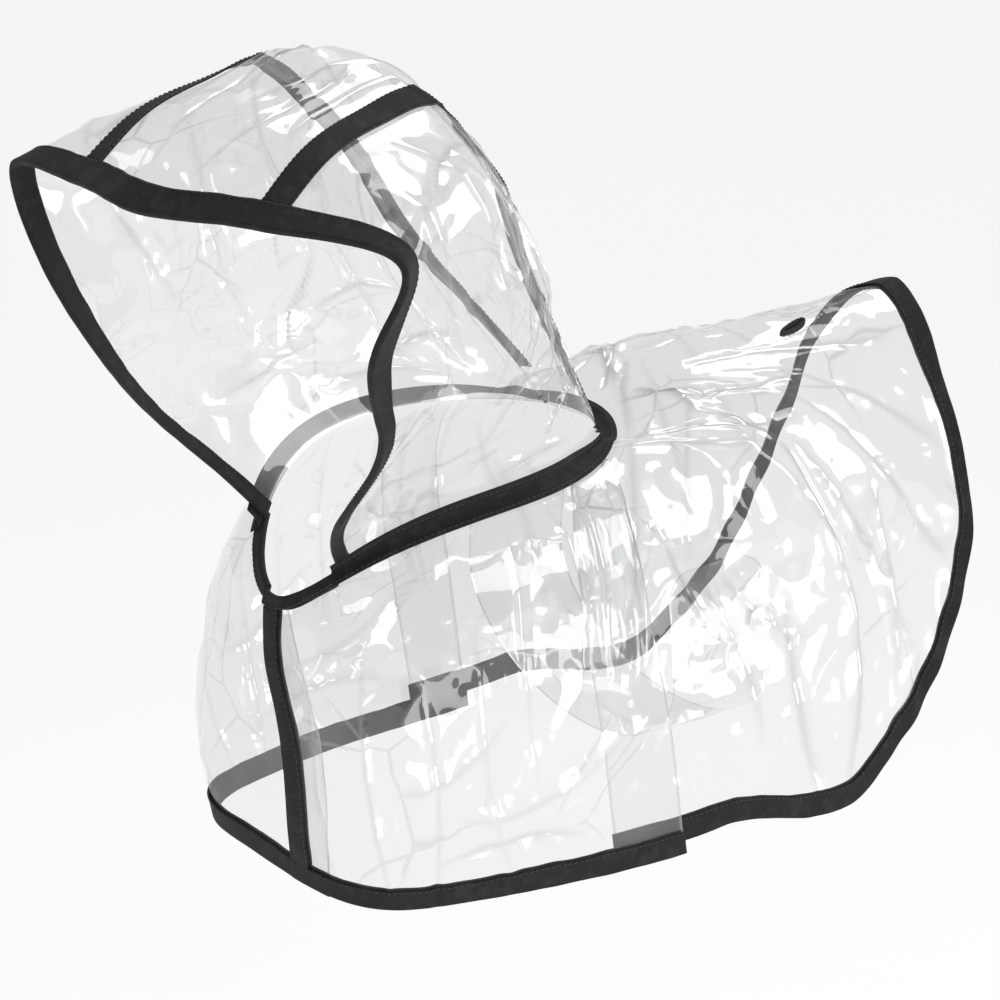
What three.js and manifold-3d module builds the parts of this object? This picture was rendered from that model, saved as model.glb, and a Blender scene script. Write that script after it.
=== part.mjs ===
// Hooded raincoat for a dog, in clear film with black woven binding on its edges and seams.
// Millimetres, +Z up, +X toward the tail, -Y the left side. The origin is on the film's inner face
// over the withers, where the wearer's back carries the coat. Worn form, hollow, open at the face,
// the neck, the hem and the tail.

import * as THREE from "three";
import { mergeVertices } from "three/addons/utils/BufferGeometryUtils.js";
import Module from "manifold-3d";

// Driving dimensions: cloth
const FILM = 1.2; // wall of the clear film
const CLOTH = 1.0; // wall of the woven binding
const GAP = 0.3; // air between pieces sewn together
const BINDING_WIDTH = 12; // each leaf of a binding that is folded round an edge
const TAPE_HALF = 6.5; // half width of the flat tapes over the hood seams
const LEFT_OVER = 4.4; // the front panels lie this far outside the back panel
const NECK_OVER = 2.0; // and this far at the neck seam
const UNDERLAP_DEPTH = -1.2; // the right front lies this far inside, under the left front's edge

// Driving dimensions: the neck opening, an oval whose throat side hangs low
const NECK_CENTRE = -122;
const NECK_LENGTH = 94; // half of it, along X
const NECK_WIDTH = 66; // half of it, along Y
const NAPE_HEIGHT = -34;
const THROAT_DROP = 55;
const THROAT_SHARPNESS = 5;

// Driving dimensions: the hood
const HOOD_TURN = 21; // degrees that the head is turned toward the left side
const HOOD_TURN_HEIGHT = 115; // the turn grows from none at the neck seam to all of it this far up
const SIDE_PANEL_END = 0.985; // the side panels stop just short of the nape's seam corner
const NECK_BAND_RISE = 12; // the neck band covers this much of the hood
const NAPE_BAND_RISE = 7; // less at the nape, where the hood's side is short
const NAPE_BAND_FROM = 125; // degrees round the neck opening: the band narrows from here
const NAPE_BAND_TO = 152; // to here
const NECK_BAND_FALL = 6; // it covers this much of the body
const NECK_BAND_START = 33; // degrees: the band runs on a little past the hood's front corners
const NECK_BAND_CLEAR = 0.8; // air under the band, which crosses edges of three layers
const SEAM_SETBACK = 0.8; // the hood stops this far from the neck seam, under the band
const BODY_SETBACK = 2.6; // and the body this far
const HOOD_SEAM_SETBACK = 0.3; // and the hood's panels this far from their seams, under the tapes

// The height of the film's inner face over the withers, in the tables' own heights.
const WITHERS_HEIGHT = -22.8;

// Ribs of the body from the neck opening to the hem, for one side. Each starts at an angle round
// the neck opening (0 at the throat, 180 at the nape) and passes four places: x, half width w,
// height z. The hem place is the last.
const BODY_RIBS = [
  { at: 0.0, neck: 0, x1: -221, w1: 0, z1: -122, x2: -226, w2: 0, z2: -158, x3: -228, w3: 0, z3: -200,
    x4: -225, w4: 0, z4: -240 },
  { at: 0.08, neck: 18, x1: -219, w1: 32, z1: -108, x2: -226, w2: 38, z2: -150, x3: -227, w3: 40, z3: -197,
    x4: -221, w4: 34, z4: -241 },
  { at: 0.16, neck: 34, x1: -210, w1: 58, z1: -92, x2: -217, w2: 68, z2: -138, x3: -217, w3: 70, z3: -192,
    x4: -211, w4: 63, z4: -243 },
  { at: 0.24, neck: 50, x1: -192, w1: 76, z1: -80, x2: -199, w2: 88, z2: -128, x3: -199, w3: 88, z3: -188,
    x4: -194, w4: 80, z4: -245 },
  { at: 0.33, neck: 67, x1: -164, w1: 86, z1: -70, x2: -168, w2: 98, z2: -120, x3: -168, w3: 97, z3: -186,
    x4: -164, w4: 90, z4: -246 },
  { at: 0.44, neck: 86, x1: -128, w1: 92, z1: -62, x2: -128, w2: 103, z2: -112, x3: -127, w3: 103, z3: -182,
    x4: -125, w4: 98, z4: -247 },
  { at: 0.56, neck: 110, x1: -84, w1: 88, z1: -56, x2: -79, w2: 102, z2: -102, x3: -77, w3: 105, z3: -172,
    x4: -75, w4: 104, z4: -249 },
  { at: 0.66, neck: 133, x1: -42, w1: 76, z1: -46, x2: -34, w2: 96, z2: -88, x3: -30, w3: 105, z3: -155,
    x4: -28, w4: 107, z4: -249 },
  { at: 0.72, neck: 147, x1: -14, w1: 68, z1: -34, x2: 4, w2: 91, z2: -74, x3: 18, w3: 104, z3: -145,
    x4: 28, w4: 108, z4: -244 },
  { at: 0.77, neck: 155, x1: 2, w1: 60, z1: -27, x2: 32, w2: 86, z2: -63, x3: 58, w3: 102, z3: -135,
    x4: 78, w4: 106, z4: -247 },
  { at: 0.81, neck: 161, x1: 12, w1: 51, z1: -20, x2: 52, w2: 79, z2: -51, x3: 84, w3: 98, z3: -120,
    x4: 106, w4: 103, z4: -228 },
  { at: 0.85, neck: 166, x1: 20, w1: 42, z1: -15, x2: 68, w2: 69, z2: -38, x3: 106, w3: 90, z3: -96,
    x4: 134, w4: 99, z4: -198 },
  { at: 0.89, neck: 170, x1: 24, w1: 33, z1: -14, x2: 80, w2: 56, z2: -26, x3: 123, w3: 79, z3: -70,
    x4: 156, w4: 95, z4: -154 },
  { at: 0.93, neck: 174, x1: 26, w1: 22, z1: -13, x2: 86, w2: 40, z2: -15, x3: 133, w3: 60, z3: -40,
    x4: 171, w4: 84, z4: -101 },
  { at: 0.965, neck: 177, x1: 27, w1: 11, z1: -12, x2: 89, w2: 22, z2: -8, x3: 138, w3: 34, z3: -14,
    x4: 172, w4: 52, z4: -34 },
  { at: 1.0, neck: 180, x1: 27, w1: 0, z1: -11.5, x2: 90, w2: 0, z2: -4, x3: 140, w3: 0, z3: -1,
    x4: 180, w4: 0, z4: 4 },
];
const RIB_PLACES = [0, 0.2, 0.43, 0.7, 1]; // how far down its rib each of the five places is

// Arches of the hood from the face edge back to the nape, for one side, before the head turns.
// Each runs from the crown over the seam and the corner down the side to the neck opening.
const HOOD_ARCHES = [
  { at: 0.0, neck: 36, x0: -330, w0: 0, z0: 150, x1: -313, w1: 55, z1: 149, x2: -292, w2: 119, z2: 139,
    x3: -288, w3: 97, z3: 80, x4: -241, w4: 75, z4: -4 },
  { at: 0.108, neck: 52, x0: -288, w0: 0, z0: 177, x1: -272, w1: 53, z1: 171, x2: -256, w2: 106, z2: 148,
    x3: -248, w3: 99, z3: 80, x4: -224, w4: 77, z4: 0 },
  { at: 0.213, neck: 70, x0: -243, w0: 0, z0: 188, x1: -232, w1: 51, z1: 178, x2: -215, w2: 93, z2: 150,
    x3: -206, w3: 96, z3: 78, x4: -190, w4: 82, z4: 5 },
  { at: 0.321, neck: 90, x0: -196, w0: 0, z0: 196, x1: -190, w1: 50, z1: 178, x2: -176, w2: 82, z2: 138,
    x3: -167, w3: 92, z3: 72, x4: -156, w4: 84, z4: 8 },
  { at: 0.432, neck: 108, x0: -155, w0: 0, z0: 174, x1: -154, w1: 49, z1: 152, x2: -142, w2: 70, z2: 110,
    x3: -131, w3: 77, z3: 56, x4: -122, w4: 77, z4: 3 },
  { at: 0.581, neck: 128, x0: -117, w0: 0, z0: 122, x1: -119, w1: 44, z1: 107, x2: -109, w2: 58, z2: 76,
    x3: -100, w3: 64, z3: 38, x4: -93, w4: 65, z4: -2 },
  { at: 0.743, neck: 143, x0: -84, w0: 0, z0: 60, x1: -85, w1: 36, z1: 53, x2: -79, w2: 45, z2: 35,
    x3: -72, w3: 50, z3: 12, x4: -65, w4: 51, z4: -12 },
  { at: 0.87, neck: 152, x0: -54, w0: 0, z0: 10, x1: -57, w1: 30, z1: 6, x2: -52, w2: 36, z2: -3,
    x3: -49, w3: 38, z3: -14, x4: -45, w4: 37, z4: -25 },
  { at: 1.0, neck: 158, x0: -28, w0: 0, z0: -34, x1: -34.8, w1: 24.7, z1: -34, x2: -34.8, w2: 24.7, z2: -34,
    x3: -34.8, w3: 24.7, z3: -34, x4: -34.8, w4: 24.7, z4: -34 },
];
const ARCH_PLACES = [0, 0.25, 0.45, 0.65, 0.85, 1]; // crown, seam, corner, side, low side, neck
const SEAM = ARCH_PLACES[1];

// The edges of the panels, as places round the body for each distance down the ribs.
const CLOSING_EDGE = [
  { at: 0, around: -0.012 },
  { at: 0.2, around: 0.02 },
  { at: 0.45, around: 0.071 },
  { at: 0.8, around: 0.079 },
  { at: 1, around: 0.076 },
];
const FRONT_REAR_EDGE = [
  { at: 0, around: 0.69 },
  { at: 0.2, around: 0.624 },
  { at: 0.43, around: 0.612 },
  { at: 0.7, around: 0.632 },
  { at: 1, around: 0.652 },
];
const BACK_FRONT_SHIFT = -0.085; // the back panel starts this much further forward, underneath
const RIGHT_THROAT_FROM = 0.03; // the right throat binding starts here, past the left one's edge
const RIGHT_UNDERLAP = 0.05; // the right front passes this far under the left front's edge
const CHEST_FULLNESS = 11; // the right front's chest corner stands out this far, more than the left
const LEFT_HEM_RAISED = 7; // the left front's hem is this much higher than the right front's
const BACK_HEM_RAISED = 12; // the back panel's hem is this much higher under the front panels

// Soft folds of the body film, along its ribs: how far round, half breadth, height, and the stretch
// of the rib that the fold takes.
const BODY_FOLDS = [
  { around: 0.3, breadth: 0.03, height: 1.6, from: 0.25, to: 1.0 },
  { around: 0.47, breadth: 0.03, height: -1.8, from: 0.2, to: 0.95 },
  { around: 0.56, breadth: 0.022, height: 1.6, from: 0.1, to: 0.8 },
  { around: 0.7, breadth: 0.016, height: 2.4, from: 0.03, to: 0.4 },
  { around: 0.745, breadth: 0.016, height: -2.4, from: 0.05, to: 0.4 },
  { around: 0.79, breadth: 0.016, height: 2.8, from: 0.1, to: 0.9 },
  { around: 0.83, breadth: 0.016, height: -2.2, from: 0.2, to: 1.0 },
  { around: 0.875, breadth: 0.02, height: 2.2, from: 0.1, to: 0.8 },
  { around: 0.925, breadth: 0.02, height: -1.6, from: 0.25, to: 0.9 },
];
const GATHER_START = 0.8; // the rear hem is gathered from here to the tail
const GATHER_WAVES = 7; // on each side
const GATHER_HEIGHT = 1.3;
const GATHER_REACH = 0.2; // share of the rib that the gathers take above the hem

// Soft folds of the hood: how far back, half breadth, height, and the stretch of the arch.
const HOOD_FOLDS = [
  { back: 0.16, breadth: 0.05, height: -1.8, from: 0.3, to: 0.95 },
  { back: 0.3, breadth: 0.04, height: 2.0, from: 0.1, to: 0.9 },
  { back: 0.42, breadth: 0.04, height: -2.2, from: 0.0, to: 0.85 },
  { back: 0.53, breadth: 0.04, height: 2.2, from: 0.0, to: 0.9 },
  { back: 0.66, breadth: 0.04, height: -1.8, from: 0.0, to: 0.95 },
  { back: 0.8, breadth: 0.035, height: 1.4, from: 0.0, to: 0.9 },
];

// Belly band, fasteners and leash slit
const BAND_CENTRE = -6; // along X
const BAND_WIDTH = 62;
const BAND_CORNER = 16; // radius of its rounded end
const BAND_TOP = -88; // its free end, on the left flank
const BAND_SEWN_TOP = -118; // its sewn end, on the right flank
const BAND_LEAVES = -150; // below this height it leaves the flank and passes under the belly
const BAND_LOWEST = -206;
const BAND_DEPTH_LEFT = -3.9; // inside the film, behind the fasteners
const BAND_DEPTH_RIGHT = -2.6;
const FASTENER_DIAMETER = 16;
const FASTENER_THICKNESS = 1.6;
const FASTENER_SIDES = 24;
const FASTENERS = [
  { name: "fastener_front", x: -20, z: -127 },
  { name: "fastener_rear", x: 19, z: -125 },
];
const SLIT_LENGTH = 19;
const SLIT_MIDDLE = { around: 0.9835, down: 0.48 };
const SLIT_LINE = { around: 0.011, down: 0.09 }; // which way it runs
const SLIT_OPEN = 3; // the width of the gap between the cut edges at its middle
const SLIT_BINDING = 1.8; // how far its binding lies over the film
const SLIT_CLEAR = 0.5; // air between its binding and the film

// Numbers of steps
const BODY_ROWS = 8;
const FRONT_COLUMNS = 19;
const BACK_COLUMNS_HALF = 34;
const HOOD_STEPS = 17;
const SIDE_PANEL_STEPS = 9;
const CENTRE_PANEL_HALF = 3;
const NECK_BAND_STEPS = 56;
const TAPE_STOPS_SHORT = 1; // the hood tapes end this many stations above the nape
const BAND_STEPS = 9;
const SLIT_STEPS = 10;

const LEFT = 1;
const RIGHT = -1;

const clear = new THREE.MeshStandardMaterial({
  color: 0xf4f6f7, roughness: 0.12, metalness: 0, transparent: true, opacity: 0.4,
});
const black = new THREE.MeshStandardMaterial({ color: 0x17171a, roughness: 0.85, metalness: 0 });
const white = new THREE.MeshStandardMaterial({ color: 0xf2f2f0, roughness: 0.45, metalness: 0 });

const radians = (degrees) => (degrees * Math.PI) / 180;
const mix = (a, b, t) => a + (b - a) * t;
const clamp01 = (t) => Math.min(1, Math.max(0, t));
const smooth = (t) => clamp01(t) ** 2 * (3 - 2 * clamp01(t));

// A smooth curve through values at rising places, with the slope at each taken from its neighbours.
function through(places, values, t) {
  const last = places.length - 1;
  let k = 0;
  while (k < last - 1 && t > places[k + 1]) k += 1;
  const slope = (n) => {
    const a = Math.max(0, n - 1);
    const b = Math.min(last, n + 1);
    return (values[b] - values[a]) / (places[b] - places[a]);
  };
  const span = places[k + 1] - places[k];
  const f = (t - places[k]) / span;
  const rise = values[k + 1] - values[k];
  const m0 = slope(k) * span;
  const m1 = slope(k + 1) * span;
  return values[k] + f * (m0 + f * (3 * rise - 2 * m0 - m1 + f * (m0 + m1 - 2 * rise)));
}

function column(rows, name, at) {
  return through(rows.map((row) => row.at), rows.map((row) => row[name]), at);
}

// A table's row seen in the mirror of the coat's middle plane.
function reflected(row, at, neck) {
  const widths = Object.keys(row).filter((key) => key.startsWith("w"));
  return { ...row, ...Object.fromEntries(widths.map((key) => [key, -row[key]])), at, neck };
}

// The body's ribs with one more past each end, so that the surface crosses the middle smoothly.
const beforeChest = reflected(BODY_RIBS[1], -BODY_RIBS[1].at, -BODY_RIBS[1].neck);
const pastSpine = reflected(BODY_RIBS.at(-2), 2 - BODY_RIBS.at(-2).at, 360 - BODY_RIBS.at(-2).neck);
const RIBS = [beforeChest, ...BODY_RIBS, pastSpine];

// The neck opening at an angle from the throat, on one side.
function neckPoint(degrees, side) {
  const c = Math.cos(radians(degrees));
  const drop = THROAT_DROP * ((1 + c) / 2) ** THROAT_SHARPNESS;
  return new THREE.Vector3(
    NECK_CENTRE - NECK_LENGTH * c,
    -side * NECK_WIDTH * Math.sin(radians(degrees)),
    NAPE_HEIGHT - drop,
  );
}

// Places past the tail are places on the other side.
function wrap(around) {
  if (around > 1) return around - 2;
  return around < -1 ? around + 2 : around;
}

function foldHeight(folds, key, along, across) {
  return folds.reduce((sum, fold) => {
    const off = (along - fold[key]) / fold.breadth;
    const f = (across - fold.from) / (fold.to - fold.from);
    return f <= 0 || f >= 1 ? sum : sum + fold.height * Math.exp(-off * off) * Math.sin(Math.PI * f);
  }, 0);
}

// A point of the plain body surface: around is 0 at the chest's middle, 1 over the tail, and
// negative on the right side; down is 0 at the neck and 1 at the hem.
function plainBody(around, down) {
  const wrapped = wrap(around);
  const side = wrapped < 0 ? RIGHT : LEFT;
  const at = Math.abs(wrapped);
  const start = neckPoint(column(RIBS, "neck", at), LEFT);
  const coordinate = (letter, first) =>
    through(RIB_PLACES, [first, ...[1, 2, 3, 4].map((n) => column(RIBS, letter + n, at))], down);
  return new THREE.Vector3(
    coordinate("x", start.x), -side * coordinate("w", -start.y), coordinate("z", start.z),
  );
}

function bodyFolds(around, down) {
  const at = Math.abs(wrap(around));
  const gather = clamp01((at - GATHER_START) / (1 - GATHER_START));
  const wave = Math.sin(2 * Math.PI * GATHER_WAVES * gather) * smooth(gather * GATHER_WAVES);
  const reach = smooth((down - (1 - GATHER_REACH)) / GATHER_REACH);
  return foldHeight(BODY_FOLDS, "around", at, down) + GATHER_HEIGHT * wave * reach;
}

// A surface's point with its outward normal.
function lifted(surface, a, b) {
  const step = 1e-3;
  const point = surface(a, b);
  const da = surface(a + step, b).sub(surface(a - step, b));
  const db = surface(a, b + step).sub(surface(a, b - step));
  return { point, normal: db.cross(da).normalize() };
}

// A point of the body at a height outside its plain surface, folds included.
function body(around, down, height) {
  const held = lifted(plainBody, around, down);
  held.point.addScaledVector(held.normal, height + bodyFolds(around, down));
  return held;
}

// A point of the hood: back is 0 at the face edge and 1 at the nape; across is 0 at the crown and
// 1 at the neck seam, negative on the right side.
function plainHood(back, across) {
  const side = across < 0 ? RIGHT : LEFT;
  const at = Math.abs(across);
  const end = neckPoint(column(HOOD_ARCHES, "neck", back), LEFT);
  const coordinate = (letter, beyond, last) => {
    const own = [0, 1, 2, 3, 4].map((n) => column(HOOD_ARCHES, letter + n, back));
    return through([-SEAM, ...ARCH_PLACES], [beyond * own[1], ...own, last], at);
  };
  const x = coordinate("x", 1, end.x);
  const y = -side * coordinate("w", -1, -end.y);
  const z = coordinate("z", 1, end.z);
  const turn = radians(HOOD_TURN) * smooth((z - end.z) / HOOD_TURN_HEIGHT);
  const forward = x - NECK_CENTRE;
  return new THREE.Vector3(
    NECK_CENTRE + forward * Math.cos(turn) - y * Math.sin(turn),
    forward * Math.sin(turn) + y * Math.cos(turn),
    z,
  );
}

function hood(back, across, height) {
  const held = lifted(plainHood, back, across);
  const folds = foldHeight(HOOD_FOLDS, "back", back, Math.abs(across));
  held.point.addScaledVector(held.normal, height + folds);
  return held;
}

// A closed wall between an outer and an inner grid of points, station by station. Each four-sided
// facet is split from its first corner; the spans listed as turned are split the other way.
function wall(outer, inner, { loop = false, turned = [] } = {}) {
  const stations = outer.length;
  const width = outer[0].length;
  const positions = [...outer.flat(), ...inner.flat()].flatMap((p) => [p.x, p.y, p.z]);
  const at = (face, i, j) => face * stations * width + (i % stations) * width + j;
  const index = [];
  const split = (a, b, c, d, turn) => {
    if (turn) index.push(b, c, d, b, d, a);
    else index.push(a, b, c, a, c, d);
  };
  const quad = (a, b, c, d) => split(a, b, c, d, false);
  const spans = loop ? stations : stations - 1;
  for (let i = 0; i < spans; i += 1) {
    for (let j = 0; j < width - 1; j += 1) {
      const turn = turned.includes(j);
      split(at(0, i, j), at(0, i + 1, j), at(0, i + 1, j + 1), at(0, i, j + 1), turn);
      split(at(1, i, j), at(1, i, j + 1), at(1, i + 1, j + 1), at(1, i + 1, j), turn);
    }
    quad(at(0, i, 0), at(1, i, 0), at(1, i + 1, 0), at(0, i + 1, 0));
    quad(at(0, i, width - 1), at(0, i + 1, width - 1), at(1, i + 1, width - 1), at(1, i, width - 1));
  }
  for (let j = 0; j < width - 1 && !loop; j += 1) {
    const end = stations - 1;
    quad(at(0, 0, j), at(0, 0, j + 1), at(1, 0, j + 1), at(1, 0, j));
    quad(at(0, end, j), at(1, end, j), at(1, end, j + 1), at(0, end, j + 1));
  }
  const geometry = new THREE.BufferGeometry();
  geometry.setAttribute("position", new THREE.Float32BufferAttribute(positions, 3));
  geometry.setIndex(volume(positions, index) < 0 ? index.reverse() : index);
  return geometry;
}

function volume(positions, index) {
  const p = (n) => new THREE.Vector3().fromArray(positions, 3 * n);
  let sum = 0;
  for (let n = 0; n < index.length; n += 3) {
    sum += p(index[n]).dot(p(index[n + 1]).cross(p(index[n + 2])));
  }
  return sum / 6;
}

// A film panel from a grid of lifted points: its wall stands half to each side.
function panel(grid) {
  const moved = (h) => grid.map((row) => row.map((s) => s.point.clone().addScaledVector(s.normal, h)));
  return wall(moved(FILM / 2), moved(-FILM / 2));
}

const LOWER_LEAF = 2; // the span of a binding's section that lies under the panel

// A binding folded round a panel's edge. Each station gives the edge and the place a binding's
// width inside it, as lifted points.
function binding(stations, { loop = false, air = GAP } = {}) {
  const leaf = (s, height, out) => {
    const outward = s.edge.point.clone().sub(s.inside.point).normalize().multiplyScalar(out);
    return [
      s.inside.point.clone().addScaledVector(s.inside.normal, height),
      s.edge.point.clone().add(outward).addScaledVector(s.edge.normal, height),
    ];
  };
  const section = (s, height, out) => [...leaf(s, height, out), ...leaf(s, -height, out).reverse()];
  const inner = FILM / 2 + air;
  return wall(
    stations.map((s) => section(s, inner + CLOTH, GAP + CLOTH)),
    stations.map((s) => section(s, inner, GAP)),
    { loop, turned: [LOWER_LEAF] },
  );
}

// A flat tape over a surface, from rows of lifted points and the height of its underside.
function tape(rows, height) {
  const moved = (h) => rows.map((row) => row.map((s) => s.point.clone().addScaledVector(s.normal, h)));
  return wall(moved(height + CLOTH), moved(height));
}

// How much of a surface's parameter a real length takes, in the given direction.
function bodyShare(around, down, alongRib, length) {
  const step = 0.01;
  const a = plainBody(around, down);
  const b = alongRib
    ? plainBody(around, down + (down > 0.5 ? -step : step))
    : plainBody(around + step, down);
  return (length * step) / a.distanceTo(b);
}

function hoodShare(back, across, alongArch, length) {
  const step = 0.01;
  const a = plainHood(back, across);
  const towardCrown = across > 0 ? -step : step;
  const b = alongArch ? plainHood(back, across + towardCrown) : plainHood(back + step, across);
  return (length * step) / a.distanceTo(b);
}

const range = (count) => Array.from({ length: count + 1 }, (_, n) => n / count);

// Rows down the body's ribs: the neck edge, the neck band's lower edge, even rows, the binding's
// inner edge and the hem.
function rowsDown(around, hem = 1) {
  const top = bodyShare(around, 0, true, BODY_SETBACK);
  const first = bodyShare(around, 0, true, BODY_SETBACK + NECK_BAND_FALL);
  const last = hem - bodyShare(around, 1, true, BINDING_WIDTH);
  return [top, ...range(BODY_ROWS - 2).map((f) => mix(first, last, f)), hem];
}

function leftRowsDown(around) {
  return rowsDown(around, 1 - bodyShare(around, 1, true, LEFT_HEM_RAISED));
}

function backRowsDown(around) {
  const raised = BACK_HEM_RAISED * (1 - smooth((around - 0.66) / 0.06));
  return rowsDown(around, 1 - bodyShare(around, 1, true, raised));
}

// How far outside the plain body each panel lies.
function leftHeight(down) {
  return mix(NECK_OVER, LEFT_OVER, smooth(down / 0.3));
}

function rightHeight(around, down) {
  const share = around > 0 ? 0 : smooth((-around - 0.1) / 0.3);
  const corner = Math.exp(-(((around + 0.14) / 0.1) ** 2)) * smooth((down - 0.1) / 0.7);
  return mix(UNDERLAP_DEPTH, leftHeight(down), share) + CHEST_FULLNESS * corner;
}

// The columns of a front panel from one edge to the other. The first stands a binding's width
// inside the closing edge where that edge is bound.
function leftColumns(down) {
  const start = column(CLOSING_EDGE, "around", down);
  const second = start + bodyShare(start, down, false, BINDING_WIDTH);
  const end = column(FRONT_REAR_EDGE, "around", down);
  return [start, ...range(FRONT_COLUMNS - 1).map((f) => mix(second, end, f))];
}

function rightColumns(down) {
  const start = column(CLOSING_EDGE, "around", down) + RIGHT_UNDERLAP;
  const end = -column(FRONT_REAR_EDGE, "around", down);
  return range(FRONT_COLUMNS + 3).map((f) => mix(start, end, f));
}

// The back panel's columns from the left underlap over the tail to the right underlap, closer
// together where the hem is gathered. 1 to 2 mean the right side, counted on past the tail.
function backColumns(down) {
  const start = column(FRONT_REAR_EDGE, "around", down) + BACK_FRONT_SHIFT;
  const half = range(BACK_COLUMNS_HALF).map((f) => mix(start, 1, f ** 0.8));
  return [...half, ...half.slice(0, -1).reverse().map((around) => 2 - around)];
}

// A grid of lifted points, column by column, for the columns' places and the rows of each.
function bodyGrid(columns, rows, height) {
  return range(columns(0).length - 1).map((_, i) => {
    const middle = Math.abs(wrap(columns(0.5)[i]));
    return rows(middle).map((down) => {
      const around = wrap(columns(down)[i]);
      return { around, down, ...body(around, down, height(around, down)) };
    });
  });
}

const leftFront = bodyGrid(leftColumns, leftRowsDown, (around, down) => leftHeight(down));
const rightFront = bodyGrid(rightColumns, rowsDown, rightHeight);
const back = bodyGrid(backColumns, backRowsDown, () => 0);

// A place between two lifted points, on the straight line that the panels' facets take.
function between(a, b, f) {
  return {
    point: a.point.clone().lerp(b.point, f),
    normal: a.normal.clone().lerp(b.normal, f).normalize(),
  };
}

const hemOf = (grid) => grid.map((row) => ({ edge: row.at(-1), inside: row.at(-2) }));

// The left front's closing edge, from under the throat binding to just above the hem binding.
function closingEdge() {
  const [edge, inside] = leftFront;
  const lower = edge.length - 3;
  const away = (GAP + 0.3) / edge[1].point.distanceTo(edge[2].point);
  const station = (k, f) => ({
    edge: between(edge[k], edge[k + 1], f), inside: between(inside[k], inside[k + 1], f),
  });
  const rows = range(lower - 2).map((_, n) => station(n + 2, 0));
  return [station(1, away), ...rows, station(lower, 1 - away)].reverse();
}

// The throat edge of a front panel, from a place near the chest's middle up to the neck band's end.
function throatEdge(grid, from) {
  const bandStart = bodyPlaceAt(NECK_BAND_START);
  const end = bandStart - bodyShare(0.15, 0, false, 2 * GAP);
  const place = (row) => Math.abs(row[0].around);
  const mine = grid.filter((row) => {
    const past = place(row) < bandStart;
    return from > 0 ? past && row[0].around < -from : past;
  });
  const last = mine.at(-1);
  const next = grid[grid.indexOf(last) + 1];
  const f = (end - place(last)) / (place(next) - place(last));
  const stations = mine.map((row) => ({ edge: row[0], inside: row[1] }));
  const stop = { edge: between(last[0], next[0], f), inside: between(last[1], next[1], f) };
  return [...stations, stop].reverse();
}

// The place, between two limits, where a rising function reaches a value.
function placeWhere(rising, low, high, value) {
  let [a, b] = [low, high];
  for (let n = 0; n < 40; n += 1) {
    const middle = (a + b) / 2;
    if (rising(middle) < value) a = middle;
    else b = middle;
  }
  return (a + b) / 2;
}

const bodyPlaceAt = (degrees) => placeWhere((at) => column(RIBS, "neck", at), 0, 1, degrees);
const hoodPlaceAt = (degrees) =>
  placeWhere((at) => column(HOOD_ARCHES, "neck", at), -0.1, 1, degrees);

const SEAM_ANGLE = HOOD_ARCHES.at(-1).neck;

// How far the neck band covers the hood at an angle round the neck opening.
function bandRise(degrees) {
  const narrowing = smooth((degrees - NAPE_BAND_FROM) / (NAPE_BAND_TO - NAPE_BAND_FROM));
  return mix(NECK_BAND_RISE, NAPE_BAND_RISE, narrowing);
}

// The stations of the hood from the face edge back, shared by its panels and tapes. The second
// stands a binding's width behind the face edge.
const hoodBacks = (() => {
  const second = hoodShare(0, 0.6, false, BINDING_WIDTH);
  return [0, ...range(HOOD_STEPS - 1).map((f) => mix(second, SIDE_PANEL_END, f))];
})();

// Where the tapes end beside a seam, as a share of the arch.
function tapeShare(backPlace) {
  return Math.min(0.3 * (1 - SEAM), hoodShare(backPlace, SEAM, true, TAPE_HALF));
}

// The hood's side panel: from the face edge back, and between the seam and the neck.
function sidePanel(side) {
  return hoodBacks.map((b) => {
    const room = 0.3 * (1 - SEAM);
    const rise = bandRise(column(HOOD_ARCHES, "neck", b)) + SEAM_SETBACK;
    const bandEdge = 1 - Math.min(room, hoodShare(b, 1, true, rise));
    const across = [
      SEAM + Math.min(room / 4, hoodShare(b, SEAM, true, HOOD_SEAM_SETBACK)),
      ...range(SIDE_PANEL_STEPS - 2).map((f) => mix(SEAM + tapeShare(b), bandEdge, f)),
      1 - Math.min(room / 4, hoodShare(b, 1, true, SEAM_SETBACK)),
    ];
    const places = across.map((a) => hood(b, side * a, 0));
    return side === LEFT ? places : places.reverse();
  });
}

// The hood's middle panel, from the brim back over the crown and down to the nape.
function centrePanel() {
  const last = 1 - hoodShare(0.98, 0.1, false, SEAM_SETBACK);
  return [...hoodBacks, last].map((b) => {
    const edge = SEAM - hoodShare(b, SEAM, true, HOOD_SEAM_SETBACK);
    const tapeEdge = SEAM - hoodShare(b, SEAM, true, TAPE_HALF);
    const half = range(CENTRE_PANEL_HALF).map((f) => f * tapeEdge).slice(1);
    const across = [...half, edge];
    const all = [...across.map((a) => -a).reverse(), 0, ...across];
    return all.map((a) => hood(b, a, 0));
  });
}

const hoodLeft = sidePanel(LEFT);
const hoodRight = sidePanel(RIGHT);
const hoodCentre = centrePanel();

// The tape over a hood seam: from the side panel over the seam to the centre panel, between the
// face binding and the neck band.
function seamTape(side) {
  const rows = hoodBacks.slice(1).map((b) => {
    const across = [SEAM - tapeShare(b), SEAM, SEAM + tapeShare(b)];
    const places = across.map((a) => hood(b, side * a, 0));
    return side === LEFT ? places : places.reverse();
  });
  const shifted = (row, next, f) => row.map((place, n) => between(place, next[n], f));
  const length = (row, next) => row[1].point.distanceTo(next[1].point);
  const away = (2 * GAP) / length(rows[0], rows[1]);
  const ends = rows.length - 1 - TAPE_STOPS_SHORT;
  return tape([shifted(rows[0], rows[1], away), ...rows.slice(1, ends)], FILM / 2 + GAP);
}

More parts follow.
